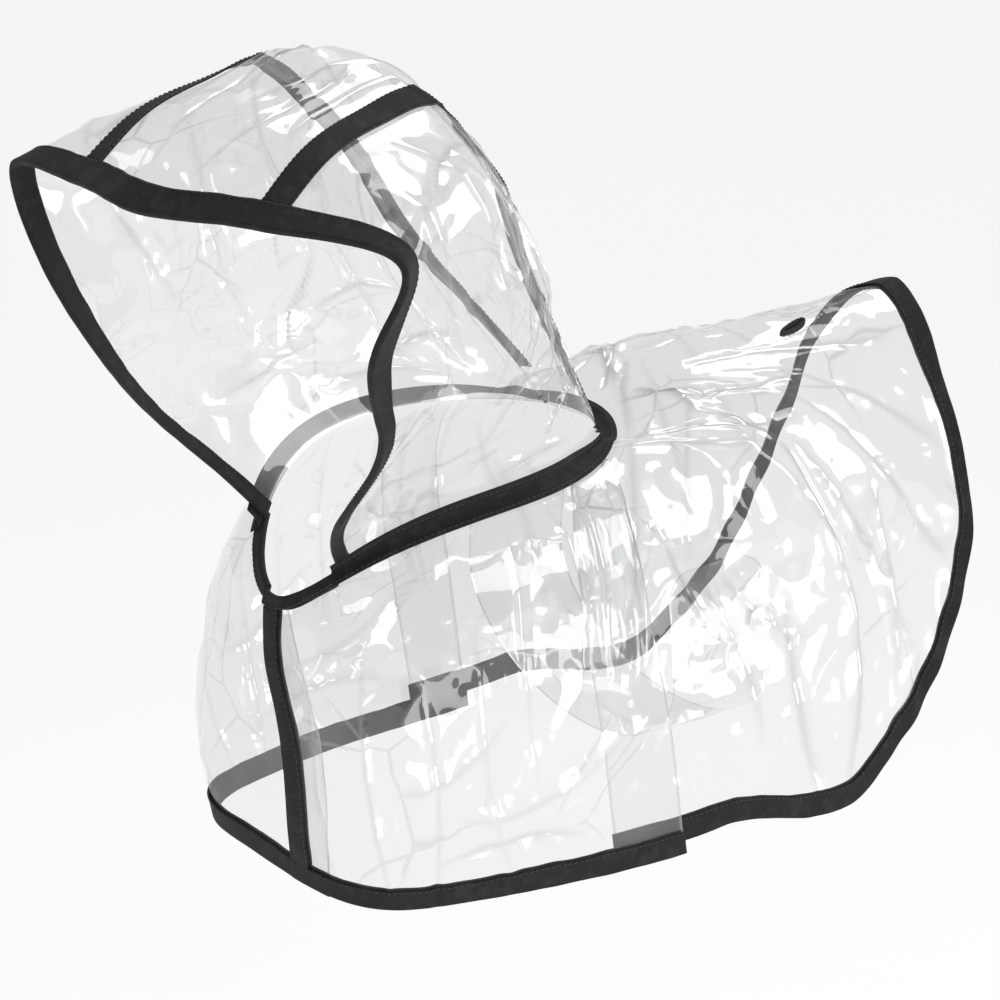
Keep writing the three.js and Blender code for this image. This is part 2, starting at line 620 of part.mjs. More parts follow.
// The binding round the face opening, from the left end of the neck band over the brim to the
// right end.
function faceEdge() {
  const across = (i) => [
    ...hoodRight[i].slice(1), ...hoodCentre[i].slice(1, -1), ...hoodLeft[i].slice(0, -1),
  ].reverse();
  return across(0).map((edge, n) => ({ edge, inside: across(1)[n] }));
}

// Where the neck band crosses the hood: a share of its rise, from the seam at 0 to its edge at 1.
function bandOnHood(degrees, side, share) {
  if (degrees < SEAM_ANGLE) {
    const back = hoodPlaceAt(degrees);
    return hood(back, side * (1 - share * hoodShare(back, 1, true, bandRise(degrees))), 0);
  }
  const across = (SEAM * (180 - degrees)) / (180 - SEAM_ANGLE);
  const back = 1 - share * hoodShare(0.98, 0.1, false, NAPE_BAND_RISE);
  return hood(back, side * Math.max(across, 1e-3), 0);
}

// The neck band's stations: up the hood, the seam's corner and down the body, at angles round the
// neck opening from the left front past the nape to the right front.
function neckBand() {
  const clear = FILM / 2 + NECK_BAND_CLEAR;
  const lift = (held, height) => held.point.clone().addScaledVector(held.normal, height);
  const stations = range(NECK_BAND_STEPS).map((f) => {
    const turn = mix(NECK_BAND_START, 360 - NECK_BAND_START, f);
    const side = turn > 180 ? RIGHT : LEFT;
    const degrees = turn > 180 ? 360 - turn : turn;
    const around = side * bodyPlaceAt(degrees);
    const down = bodyShare(around, 0, true, NECK_BAND_FALL);
    const front = 1 - smooth((Math.abs(around) - 0.7) / 0.04);
    const own = side === LEFT ? leftHeight(down) : rightHeight(around, down);
    const bodyHeight = Math.max(own, 0) * front + clear;
    const upper = bandOnHood(degrees, side, 1);
    const middle = bandOnHood(degrees, side, 0.5);
    const lower = body(around, down, 0);
    const corner = upper.normal.clone().add(lower.normal).normalize();
    const reach = bodyHeight / Math.max(0.6, corner.dot(lower.normal));
    const seam = neckPoint(degrees, side);
    return (extra) => [
      lift(upper, clear + extra),
      lift(middle, clear + extra),
      seam.clone().addScaledVector(corner, reach + extra),
      lift(lower, bodyHeight + extra),
    ];
  });
  return wall(stations.map((section) => section(CLOTH)), stations.map((section) => section(0)));
}

// The place on the body whose plain surface has the given x and z.
function flankPlace(x, z) {
  let [around, down] = [0.7, 0.5];
  const step = 1e-3;
  for (let n = 0; n < 12; n += 1) {
    const p = plainBody(around, down);
    const da = plainBody(around + step, down).sub(p).divideScalar(step);
    const dd = plainBody(around, down + step).sub(p).divideScalar(step);
    const [ex, ez] = [x - p.x, z - p.z];
    const det = da.x * dd.z - dd.x * da.z;
    around += (ex * dd.z - ez * dd.x) / det;
    down += (ez * da.x - ex * da.z) / det;
  }
  return { around, down };
}

// The belly band's lifted points: inside the left flank, under the belly, inside the right flank.
function bellyBand() {
  const flank = (x, z, side) => {
    const { around, down } = flankPlace(x, z);
    return body(side * around, down, side === LEFT ? BAND_DEPTH_LEFT : BAND_DEPTH_RIGHT);
  };
  const under = (x, f) => {
    const angle = Math.PI * f;
    const side = f < 0.5 ? LEFT : RIGHT;
    const start = flank(x, BAND_LEAVES, side).point;
    const depth = BAND_LEAVES - BAND_LOWEST;
    const point = new THREE.Vector3(
      x, -side * Math.abs(start.y) * Math.abs(Math.cos(angle)), start.z - depth * Math.sin(angle),
    );
    const normal = new THREE.Vector3(0, -Math.cos(angle) * depth, -Math.sin(angle) * Math.abs(start.y));
    return { point, normal: normal.normalize() };
  };
  const rounding = [0, 0.06, 0.2, 0.45, 1].map((f) => BAND_TOP - BAND_CORNER * f);
  const leftHeights = [...rounding, ...range(2).slice(0, -1).map((f) => mix(-117, BAND_LEAVES, f))];
  const halfWidth = (z) => {
    const short = Math.max(0, BAND_CORNER - (BAND_TOP - z));
    return BAND_WIDTH / 2 - BAND_CORNER + Math.sqrt(BAND_CORNER ** 2 - short ** 2);
  };
  const across = (half) => range(BAND_STEPS - 5).map((f) => BAND_CENTRE + half * (2 * f - 1));
  return [
    ...leftHeights.map((z) => across(halfWidth(z)).map((x) => flank(x, z, LEFT))),
    ...range(2 * BAND_STEPS).map((f) => across(BAND_WIDTH / 2).map((x) => under(x, f))),
    ...[-138, BAND_SEWN_TOP].map((z) => across(BAND_WIDTH / 2).map((x) => flank(x, z, RIGHT))),
  ];
}

// A round fastener between the belly band and the film, flat against both.
function fastener({ x, z }) {
  const { around, down } = flankPlace(x, z);
  const depth = FILM / 2 + 2 * GAP + FASTENER_THICKNESS / 2;
  const held = body(around, down, -depth);
  const radius = FASTENER_DIAMETER / 2;
  const disc = new THREE.CylinderGeometry(radius, radius, FASTENER_THICKNESS, FASTENER_SIDES);
  const alongY = new THREE.Vector3(0, 1, 0);
  disc.applyQuaternion(new THREE.Quaternion().setFromUnitVectors(alongY, held.normal));
  return disc.translate(held.point.x, held.point.y, held.point.z);
}

// A place on the back, from lengths along and beside the leash slit.
function slitPlace(along, aside, height) {
  const { around, down } = SLIT_MIDDLE;
  const perAround = bodyShare(around, down, false, 1);
  const perDown = bodyShare(around, down, true, 1);
  const line = new THREE.Vector2(SLIT_LINE.around / perAround, SLIT_LINE.down / perDown).normalize();
  return body(
    around + (along * line.x - aside * line.y) * perAround,
    down + (along * line.y + aside * line.x) * perDown,
    height,
  );
}

// One closed wall cut by another.
const wasm = await Module();
wasm.setup();

function solidOf(geometry) {
  const plain = new THREE.BufferGeometry();
  plain.setAttribute("position", geometry.getAttribute("position"));
  plain.setIndex(geometry.getIndex());
  const merged = mergeVertices(plain, 1e-5);
  return new wasm.Manifold(new wasm.Mesh({
    numProp: 3,
    vertProperties: new Float32Array(merged.getAttribute("position").array),
    triVerts: new Uint32Array(merged.getIndex().array),
  }));
}

function cut(geometry, tool) {
  const mesh = solidOf(geometry).subtract(solidOf(tool)).getMesh();
  const result = new THREE.BufferGeometry();
  result.setAttribute("position", new THREE.Float32BufferAttribute(mesh.vertProperties, 3));
  result.setIndex(Array.from(mesh.triVerts));
  return result;
}

// A plug through the film, the size of the leash slit, in stations along it.
function slitPlug() {
  const half = SLIT_LENGTH / 2;
  const stations = range(SLIT_STEPS).map((f) => {
    const along = half * (2 * f - 1);
    const wide = Math.max(SLIT_OPEN / 20, (SLIT_OPEN / 2) * Math.sqrt(1 - (along / half) ** 2));
    return (height) => [-wide, wide].map((aside) => slitPlace(along, aside, height).point);
  });
  const level = (height) => stations.map((section) => section(height));
  return wall(level(2 * FILM), level(-2 * FILM));
}

// The binding's stations round the leash slit.
function slitEdge() {
  const place = (angle, distance) => slitPlace(
    (SLIT_LENGTH / 2 + distance) * Math.cos(angle),
    (SLIT_OPEN / 2 + distance) * Math.sin(angle),
    0,
  );
  return range(2 * SLIT_STEPS).slice(0, -1).map((f) => {
    const angle = 2 * Math.PI * f;
    return { edge: place(angle, 0), inside: place(angle, SLIT_BINDING) };
  });
}

const coat = new THREE.Group();
coat.position.z = -WITHERS_HEIGHT;

function add(name, geometry, material) {
  const mesh = new THREE.Mesh(geometry, material);
  mesh.name = name;
  coat.add(mesh);
}

add("hood_left", panel(hoodLeft), clear);
add("hood_centre", panel(hoodCentre), clear);
add("hood_right", panel(hoodRight), clear);
add("front_left", panel(leftFront), clear);
add("front_right", panel(rightFront), clear);
add("back_panel", cut(panel(back), slitPlug()), clear);
add("front_left_hem", binding(hemOf(leftFront)), black);
add("front_right_hem", binding(hemOf(rightFront)), black);
add("back_hem", binding(hemOf(back)), black);
add("front_edge_binding", binding(closingEdge()), black);
add("face_binding", binding(faceEdge()), black);
add("neck_band", neckBand(), black);
add("throat_binding_left", binding(throatEdge(leftFront, 0)), black);
add("throat_binding_right", binding(throatEdge(rightFront, RIGHT_THROAT_FROM)), black);
add("hood_seam_left", seamTape(LEFT), black);
add("hood_seam_right", seamTape(RIGHT), black);
add("leash_slit_binding", binding(slitEdge(), { loop: true, air: SLIT_CLEAR }), black);
add("belly_band", panel(bellyBand()), clear);
for (const spec of FASTENERS) add(spec.name, fastener(spec), white);

export default coat;
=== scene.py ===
"""Looks for a hooded dog raincoat in clear film with black woven binding.

The coat's forms are worked out from short tables of ribs and arches, in millimetres, and drawn as
thin film shells, folded bindings, taped seams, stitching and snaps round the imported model's frame.
"""

import logging
import math
from dataclasses import dataclass, field
from enum import Enum
from typing import Any, Callable, Iterable, Sequence

import bmesh
import bpy
import numpy as np
from mathutils import Matrix, Vector, noise


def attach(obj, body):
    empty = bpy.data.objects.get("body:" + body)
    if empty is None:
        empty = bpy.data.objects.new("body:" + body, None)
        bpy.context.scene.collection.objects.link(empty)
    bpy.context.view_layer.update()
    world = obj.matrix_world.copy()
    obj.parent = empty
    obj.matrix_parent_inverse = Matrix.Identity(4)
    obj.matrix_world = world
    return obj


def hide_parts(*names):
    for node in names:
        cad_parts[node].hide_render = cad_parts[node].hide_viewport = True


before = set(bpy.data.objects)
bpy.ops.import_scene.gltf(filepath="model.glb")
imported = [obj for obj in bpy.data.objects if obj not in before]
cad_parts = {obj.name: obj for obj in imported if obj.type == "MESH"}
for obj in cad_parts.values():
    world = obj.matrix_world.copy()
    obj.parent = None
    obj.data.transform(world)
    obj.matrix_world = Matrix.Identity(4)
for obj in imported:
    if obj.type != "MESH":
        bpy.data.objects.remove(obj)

Array = np.ndarray
log = logging.getLogger("raincoat")

WITHERS_HEIGHT = -22.8
FILM = 1.2
GAP = 0.3
BINDING_WIDTH = 12.0
TAPE_HALF = 6.5
SEAM = 0.25
RIB_PLACES = np.array([0, 0.2, 0.43, 0.7, 1])
ARCH_PLACES = np.array([0, 0.25, 0.45, 0.65, 0.85, 1])


class Side(Enum):
    """The coat's two sides, as the sign of a place round it."""

    LEFT = 1
    RIGHT = -1


@dataclass(frozen=True)
class Rib:
    """A rib of the body from the neck opening to the hem: four places of x, half width and height."""

    at: float
    neck: float
    x: tuple[float, ...]
    w: tuple[float, ...]
    z: tuple[float, ...]

    def mirrored(self, at: float, neck: float) -> "Rib":
        """Returns the rib seen in the coat's middle plane, at another place."""
        return Rib(at, neck, self.x, tuple(-w for w in self.w), self.z)


BODY_RIBS = (
    Rib(0.0, 0, (-221, -226, -228, -225), (0, 0, 0, 0), (-122, -158, -200, -240)),
    Rib(0.08, 18, (-219, -226, -227, -221), (32, 38, 40, 34), (-108, -150, -197, -241)),
    Rib(0.16, 34, (-210, -217, -217, -211), (58, 68, 70, 63), (-92, -138, -192, -243)),
    Rib(0.24, 50, (-192, -199, -199, -194), (76, 88, 88, 80), (-80, -128, -188, -245)),
    Rib(0.33, 67, (-164, -168, -168, -164), (86, 98, 97, 90), (-70, -120, -186, -246)),
    Rib(0.44, 86, (-128, -128, -127, -125), (92, 103, 103, 98), (-62, -112, -182, -247)),
    Rib(0.56, 110, (-84, -79, -77, -75), (88, 102, 105, 104), (-56, -102, -172, -249)),
    Rib(0.66, 133, (-42, -34, -30, -28), (76, 96, 105, 107), (-46, -88, -155, -249)),
    Rib(0.72, 147, (-14, 4, 18, 28), (68, 91, 104, 108), (-34, -74, -145, -244)),
    Rib(0.77, 155, (2, 32, 58, 78), (60, 86, 102, 106), (-27, -63, -135, -247)),
    Rib(0.81, 161, (12, 52, 84, 106), (51, 79, 98, 103), (-20, -51, -120, -228)),
    Rib(0.85, 166, (20, 68, 106, 134), (42, 69, 90, 99), (-15, -38, -96, -198)),
    Rib(0.89, 170, (24, 80, 123, 156), (33, 56, 79, 95), (-14, -26, -70, -154)),
    Rib(0.93, 174, (26, 86, 133, 171), (22, 40, 60, 84), (-13, -15, -40, -101)),
    Rib(0.965, 177, (27, 89, 138, 172), (11, 22, 34, 52), (-12, -8, -14, -34)),
    Rib(1.0, 180, (27, 90, 140, 180), (0, 0, 0, 0), (-11.5, -4, -1, 4)),
)
HOOD_ARCHES = (
    Rib(0.0, 36, (-330, -313, -292, -288, -241), (0, 55, 119, 97, 75), (150, 149, 139, 80, -4)),
    Rib(0.108, 52, (-288, -272, -256, -248, -224), (0, 53, 106, 99, 77), (177, 171, 148, 80, 0)),
    Rib(0.213, 70, (-243, -232, -215, -206, -190), (0, 51, 93, 96, 82), (188, 178, 150, 78, 5)),
    Rib(0.321, 90, (-196, -190, -176, -167, -156), (0, 50, 82, 92, 84), (196, 178, 138, 72, 8)),
    Rib(0.432, 108, (-155, -154, -142, -131, -122), (0, 49, 70, 77, 77), (174, 152, 110, 56, 3)),
    Rib(0.581, 128, (-117, -119, -109, -100, -93), (0, 44, 58, 64, 65), (122, 107, 76, 38, -2)),
    Rib(0.743, 143, (-84, -85, -79, -72, -65), (0, 36, 45, 50, 51), (60, 53, 35, 12, -12)),
    Rib(0.87, 152, (-54, -57, -52, -49, -45), (0, 30, 36, 38, 37), (10, 6, -3, -14, -25)),
    Rib(1.0, 158, (-28, -34.8, -34.8, -34.8, -34.8), (0, 24.7, 24.7, 24.7, 24.7), (-34,) * 5),
)


def through(places: Array, values: Array, t: Array) -> Array:
    """Reads a smooth curve through values at rising places.

    Args:
        places: The rising places, one for each value.
        values: The values, one row for each place, with one column for each t or a single one.
        t: Where to read the curve.

    Returns:
        The curve's value at each t.
    """
    t = np.asarray(t, float)
    values = np.asarray(values, float)
    if values.ndim == 1:
        values = np.repeat(values[:, None], t.size, 1)
    last = len(places) - 1
    k = (t[:, None] > places[None, 1:-1]).sum(1)
    own = np.arange(t.size)

    def slope(n: Array) -> Array:
        """Returns the slope at each knot's neighbours."""
        a = np.maximum(0, n - 1)
        b = np.minimum(last, n + 1)
        return (values[b, own] - values[a, own]) / (places[b] - places[a])

    span = places[k + 1] - places[k]
    f = (t - places[k]) / span
    rise = values[k + 1, own] - values[k, own]
    m0 = slope(k) * span
    m1 = slope(k + 1) * span
    return values[k, own] + f * (m0 + f * (3 * rise - 2 * m0 - m1 + f * (m0 + m1 - 2 * rise)))


def smooth(t: Array) -> Array:
    """Returns a soft step from 0 at 0 to 1 at 1."""
    t = np.clip(t, 0, 1)
    return t * t * (3 - 2 * t)


def mix(a: Array, b: Array, t: Array) -> Array:
    """Returns the value a share t of the way from a to b."""
    return a + (b - a) * t


@dataclass(frozen=True)
class Crease:
    """A soft trough or ridge of the film between two places of a surface.

    Attributes:
        start: The place where it starts, round and down the surface.
        end: The place where it ends.
        breadth: Half its breadth in millimetres.
        depth: How far it stands out, or in where negative, in millimetres.
        bow: How far it bends aside at its middle, in millimetres.
        shade_mark: How strongly a painted shade line shows along the fold, from 0 to 1.
    """

    start: tuple[float, float]
    end: tuple[float, float]
    breadth: float
    depth: float
    bow: float = 0.0
    # How strongly the fold's painted shade line shows.
    shade_mark: float = 0.5

    def _aside(self, u: Array, v: Array, scale: tuple[float, float]) -> tuple[Array, Array]:
        """Returns the share along the crease and the distance beside it at places (u, v)."""
        ax, ay = self.start[0] * scale[0], self.start[1] * scale[1]
        bx, by = self.end[0] * scale[0], self.end[1] * scale[1]
        length = math.hypot(bx - ax, by - ay)
        dx, dy = (bx - ax) / length, (by - ay) / length
        px, py = u * scale[0] - ax, v * scale[1] - ay
        along = (px * dx + py * dy) / length
        taper = np.clip(along, 0, 1)
        side = px * -dy + py * dx - self.bow * np.sin(np.pi * taper)
        return taper, side

    def height(self, u: Array, v: Array, scale: tuple[float, float]) -> Array:
        """Returns the crease's height at places (u, v), whose units are scale millimetres long."""
        taper, side = self._aside(u, v, scale)
        swell = np.sin(np.pi * taper) ** 0.6
        return self.depth * swell * np.exp(-((side / self.breadth) ** 2))

    def line(self, u: Array, v: Array, scale: tuple[float, float]) -> Array:
        """Returns how strongly the crease's painted shade line shows at places (u, v)."""
        taper, side = self._aside(u, v, scale)
        return self.shade_mark * np.sin(np.pi * taper) ** 0.5 * np.exp(-((side / 2.0) ** 2))


# Each crease's last number sets the strength of its painted shade line.
BODY_CREASES = (
    Crease((0.966, 0.10), (0.795, 0.19), 3.0, 2.4, 3, 0.9),
    Crease((0.795, 0.19), (0.818, 0.378), 3.0, 2.2, -2, 0.8),
    Crease((0.95, 0.07), (0.829, 0.234), 2.6, -2.0, 4, 0.8),
    Crease((0.818, 0.378), (0.80, 0.632), 3.4, 2.6, 3, 0.9),
    Crease((0.80, 0.632), (0.771, 0.98), 3.8, 2.6, -3, 0.8),
    Crease((0.70, 0.02), (0.80, 0.34), 3.2, 2.0, 6, 0.5),
    Crease((0.735, 0.02), (0.86, 0.40), 2.6, -2.0, 8, 0.6),
    Crease((0.80, 0.06), (0.93, 0.42), 2.4, -1.6, 5, 0.6),
    Crease((0.79, 0.30), (0.775, 0.92), 5.0, 2.4, -10, 0.3),
    Crease((0.745, 0.60), (0.752, 0.97), 2.6, -2.2, 4, 0.7),
    Crease((0.83, 0.40), (0.85, 0.95), 4.2, 2.2, 6, 0.5),
    Crease((0.88, 0.30), (0.90, 0.95), 4.0, -2.0, 8, 0.4),
    Crease((0.915, 0.25), (0.94, 0.9), 4.4, 1.8, 6, 0.4),
    Crease((0.955, 0.2), (0.975, 0.8), 3.6, -1.4, 4, 0.5),
    Crease((0.86, 0.62), (0.83, 0.93), 2.4, 1.6, 3, 0.6),
    Crease((0.70, 0.50), (0.76, 0.72), 3.0, -1.6, 4, 0.5),
    Crease((0.675, 0.46), (0.715, 0.86), 2.8, 1.6, -4, 0.5),
    Crease((0.655, 0.30), (0.69, 0.62), 2.4, -1.4, 3, 0.5),
    Crease((0.64, 0.08), (0.60, 0.62), 4.0, 1.6, 5, 0.4),
    Crease((0.585, 0.05), (0.555, 0.55), 4.4, -1.8, 6, 0.4),
    Crease((0.52, 0.06), (0.50, 0.60), 4.0, 1.8, -6, 0.3),
    Crease((0.44, 0.10), (0.45, 0.70), 5.0, -1.8, 8, 0.3),
    Crease((0.36, 0.30), (0.42, 0.95), 5.0, 2.0, 10, 0.3),
    Crease((0.28, 0.35), (0.30, 0.98), 4.6, -1.8, -8, 0.4),
    Crease((0.20, 0.25), (0.24, 0.95), 4.2, 1.6, 7, 0.5),
    Crease((0.12, 0.35), (0.15, 0.9), 3.6, -1.4, 5, 0.6),
    Crease((0.33, 0.72), (0.58, 0.66), 5.0, 1.6, 9, 0.4),
    Crease((0.30, 0.84), (0.52, 0.86), 4.2, -1.6, -7, 0.5),
    Crease((0.24, 0.62), (0.40, 0.52), 4.4, 1.4, 6, 0.4),
)
# Each crease's last number sets the strength of its painted shade line.
HOOD_CREASES = (
    Crease((0.10, 0.34), (0.20, 0.72), 4.0, 2.0, 8, 0.5),
    Crease((0.15, 0.44), (0.34, 0.36), 3.0, -1.6, -5, 0.6),
    Crease((0.20, 0.30), (0.30, 0.80), 4.4, -2.2, -9, 0.4),
    Crease((0.26, 0.61), (0.45, 0.52), 2.8, 1.8, 4, 0.7),
    Crease((0.30, 0.12), (0.44, 0.62), 4.0, 2.4, 8, 0.5),
    Crease((0.32, 0.87), (0.46, 0.60), 3.0, 2.0, 4, 0.7),
    Crease((0.40, 0.05), (0.52, 0.50), 3.4, -2.2, 6, 0.6),
    Crease((0.40, 0.78), (0.66, 0.62), 3.0, -2.0, -5, 0.8),
    Crease((0.46, 0.36), (0.56, 0.90), 4.2, 2.2, -8, 0.5),
    Crease((0.52, 0.88), (0.75, 0.70), 2.6, 1.8, 3, 0.8),
    Crease((0.55, 0.04), (0.64, 0.60), 3.4, 2.0, 5, 0.7),
    Crease((0.62, 0.30), (0.72, 0.88), 3.6, -2.0, 6, 0.6),
    Crease((0.70, 0.05), (0.78, 0.60), 3.0, 1.6, -4, 0.7),
    Crease((0.80, 0.04), (0.88, 0.70), 2.8, -1.4, 3, 0.7),
    Crease((0.14, 0.88), (0.40, 0.84), 4.0, -1.6, 6, 0.4),
    Crease((0.30, 0.94), (0.62, 0.92), 3.6, 1.6, -5, 0.5),
    Crease((0.05, 0.06), (0.32, 0.10), 4.0, -1.6, 8, 0.5),
    Crease((0.12, 0.18), (0.36, 0.20), 3.6, 1.4, -6, 0.5),
    Crease((0.18, 0.02), (0.50, 0.16), 3.0, 1.6, 6, 0.7),
)


@dataclass(frozen=True)
class SoftFold:
    """A broad fold along a rib or an arch: its place, half breadth, height, start and end."""

    place: float
    breadth: float
    height: float
    start: float
    end: float

    def lift(self, place: Array, along: Array) -> Array:
        """Returns the fold's height at places across and along it."""
        off = (place - self.place) / self.breadth
        f = np.clip((along - self.start) / (self.end - self.start), 0, 1)
        return self.height * np.exp(-off * off) * np.sin(np.pi * f)


BODY_FOLDS = (
    SoftFold(0.3, 0.03, 1.6, 0.25, 1.0),
    SoftFold(0.47, 0.03, -1.8, 0.2, 0.95),
    SoftFold(0.56, 0.022, 1.6, 0.1, 0.8),
    SoftFold(0.7, 0.016, 2.4, 0.03, 0.4),
    SoftFold(0.745, 0.016, -2.4, 0.05, 0.4),
    SoftFold(0.79, 0.016, 2.8, 0.1, 0.9),
    SoftFold(0.83, 0.016, -2.2, 0.2, 1.0),
    SoftFold(0.875, 0.02, 2.2, 0.1, 0.8),
    SoftFold(0.925, 0.02, -1.6, 0.25, 0.9),
)
HOOD_FOLDS = (
    SoftFold(0.16, 0.05, -1.8, 0.3, 0.95),
    SoftFold(0.3, 0.04, 2.0, 0.1, 0.9),
    SoftFold(0.42, 0.04, -2.2, 0.0, 0.85),
    SoftFold(0.53, 0.04, 2.2, 0.0, 0.9),
    SoftFold(0.66, 0.04, -1.8, 0.0, 0.95),
    SoftFold(0.8, 0.035, 1.4, 0.0, 0.9),
)


@dataclass
class Held:
    """Points of a surface with their outward normals, as (n, 3) arrays in millimetres."""

    points: Array
    normals: Array

    def out(self, height: Array | float) -> Array:
        """Returns the points moved out along their normals."""
        return self.points + self.normals * np.reshape(height, (-1, 1))


BODY_SCALE = (620, 190)
HOOD_SCALE = (380, 330)


def crease_shade_lines(creases: Sequence[Crease], u: Array, v: Array, scale: tuple[float, float]) -> Array:
    """Returns how strongly any crease's painted shade line shows at places of a surface."""
    return np.max([crease.line(np.abs(u), np.abs(v), scale) for crease in creases], axis=0)


@dataclass
class CoatForm:
    """The coat's body and hood as surfaces.

    Attributes:
        neck_centre: Where the neck opening's middle lies along X.
        neck_length: Half the opening's length.
        neck_width: Half its width.
        nape: The height of the opening at the nape.
        throat_drop: How far its throat hangs below the nape.
        throat_sharpness: How late the opening starts to drop.
        hood_turn: Degrees that the hood is turned to the left.
        turn_height: How far above the neck the whole turn is reached.
        gathers: Waves of the gathered rear hem on each side.
        gather_height: How high the waves stand.
    """

    neck_centre: float = -122
    neck_length: float = 94
    neck_width: float = 66
    nape: float = -34
    throat_drop: float = 55
    throat_sharpness: float = 5
    hood_turn: float = 21
    turn_height: float = 115
    gathers: int = 7
    gather_height: float = 0.8
    ribs: tuple[Rib, ...] = field(init=False)

    def __post_init__(self) -> None:
        """Adds a mirrored rib past each end, so that the body crosses the middle smoothly."""
        chest, spine = BODY_RIBS[1], BODY_RIBS[-2]
        before = chest.mirrored(-chest.at, -chest.neck)
        past = spine.mirrored(2 - spine.at, 360 - spine.neck)
        self.ribs = (before, *BODY_RIBS, past)

    @staticmethod
    def column(rows: Sequence[Rib], pick: Callable[[Rib], float], at: Array) -> Array:
        """Returns one of a table's columns, read smoothly at the given places."""
        return through(np.array([r.at for r in rows], float), np.array([pick(r) for r in rows], float), at)

    def neck_point(self, degrees: Array) -> tuple[Array, Array, Array]:
        """Returns x, half width and height of the neck opening at angles from the throat."""
        angle = np.radians(degrees)
        c = np.cos(angle)
        drop = self.throat_drop * ((1 + c) / 2) ** self.throat_sharpness
        return self.neck_centre - self.neck_length * c, self.neck_width * np.sin(angle), self.nape - drop

    @staticmethod
    def wrap(around: Array) -> Array:
        """Returns places round the body, where those past the tail count from the other side."""
        around = np.asarray(around, float)
        return np.where(around > 1, around - 2, np.where(around < -1, around + 2, around))

    def plain_body(self, around: Array, down: Array) -> Array:
        """Returns points of the unfolded body.

        Args:
            around: 0 at the chest's middle and 1 over the tail, negative on the right.
            down: 0 at the neck and 1 at the hem.
        """
        wrapped = self.wrap(around)
        side = np.where(wrapped < 0, -1.0, 1.0)
        at = np.abs(wrapped)
        x, w, z = self.neck_point(self.column(self.ribs, lambda r: r.neck, at))
        points = []
        for first, letter in ((x, "x"), (w, "w"), (z, "z")):
            rows = [first]
            for n in range(4):
                rows.append(self.column(self.ribs, lambda r, n=n, letter=letter: getattr(r, letter)[n], at))
            points.append(through(RIB_PLACES, np.array(rows), down))
        return np.stack([points[0], -side * points[1], points[2]], -1)

    def plain_hood(self, back: Array, across: Array) -> Array:
        """Returns points of the unfolded hood, turned with the head.

        Args:
            back: 0 at the face edge and 1 at the nape.
            across: 0 at the crown and 1 at the neck seam, negative on the right.
        """
        side = np.where(across < 0, -1.0, 1.0)
        at = np.abs(across)
        ends = self.neck_point(self.column(HOOD_ARCHES, lambda r: r.neck, back))
        places = np.concatenate([[-SEAM], ARCH_PLACES])
        points = []
        for end, letter, beyond in ((ends[0], "x", 1), (ends[1], "w", -1), (ends[2], "z", 1)):
            own = [
                self.column(HOOD_ARCHES, lambda r, n=n, letter=letter: getattr(r, letter)[n], back)
                for n in range(5)
            ]
            points.append(through(places, np.array([beyond * own[1], *own, end]), at))
        x, y, z = points[0], -side * points[1], points[2]
        turn = math.radians(self.hood_turn) * smooth((z - ends[2]) / self.turn_height)
        forward = x - self.neck_centre
        cos, sin = np.cos(turn), np.sin(turn)
        return np.stack([self.neck_centre + forward * cos - y * sin, forward * sin + y * cos, z], -1)

    @staticmethod
    def _held(surface: Callable[[Array, Array], Array], a: Array, b: Array) -> Held:
        """Returns a surface's points with their outward normals."""
        step = 1e-3
        da = surface(a + step, b) - surface(a - step, b)
        db = surface(a, b + step) - surface(a, b - step)
        normals = np.cross(db, da)
        normals /= np.linalg.norm(normals, axis=1)[:, None] + 1e-12
        return Held(surface(a, b), normals)

    def body_lift(self, around: Array, down: Array) -> Array:
        """Returns the height of the body's folds, gathers and creases."""
        at = np.abs(self.wrap(around))
        share = np.clip((at - 0.8) / 0.2, 0, 1)
        wave = np.sin(2 * np.pi * self.gathers * share) * smooth(share * self.gathers)
        lift = self.gather_height * wave * smooth((down - 0.8) / 0.2)
        for fold in BODY_FOLDS:
            lift = lift + fold.lift(at, down)
        return lift

    def body(self, around: Array, down: Array, creased: float = 0.0) -> Held:
        """Returns the folded body's points, with a share of its fine creases."""
        around, down = np.broadcast_arrays(np.asarray(around, float), np.asarray(down, float))
        around, down = around.ravel(), down.ravel()
        held = self._held(self.plain_body, around, down)
        lift = self.body_lift(around, down)
        if creased:
            at = np.abs(self.wrap(around))
            for crease in BODY_CREASES:
                lift = lift + creased * crease.height(at, down, BODY_SCALE)
        held.points = held.out(lift)
        return held

    def hood(self, back: Array, across: Array, creased: float = 0.0) -> Held:
        """Returns the folded hood's points, with a share of its fine creases."""
        back, across = np.broadcast_arrays(np.asarray(back, float), np.asarray(across, float))
        back, across = back.ravel(), across.ravel()
        held = self._held(self.plain_hood, back, across)
        lift = np.zeros(back.size)
        for fold in HOOD_FOLDS:
            lift = lift + fold.lift(back, np.abs(across))
        if creased:
            for crease in HOOD_CREASES:
                lift = lift + creased * crease.height(back, np.abs(across), HOOD_SCALE)
        held.points = held.out(lift)
        return held

    def body_share(self, around: Array, down: Array, along_rib: bool, length: float) -> Array:
        """Returns how much of the body's parameter a real length takes."""
        around, down = np.broadcast_arrays(np.asarray(around, float), np.asarray(down, float))
        shape, around, down = around.shape, around.ravel(), down.ravel()
        step = 0.01
        a = self.plain_body(around, down)
        if along_rib:
            b = self.plain_body(around, down + np.where(down > 0.5, -step, step))
        else:
            b = self.plain_body(around + step, down)
        return (length * step / np.linalg.norm(a - b, axis=1)).reshape(shape)

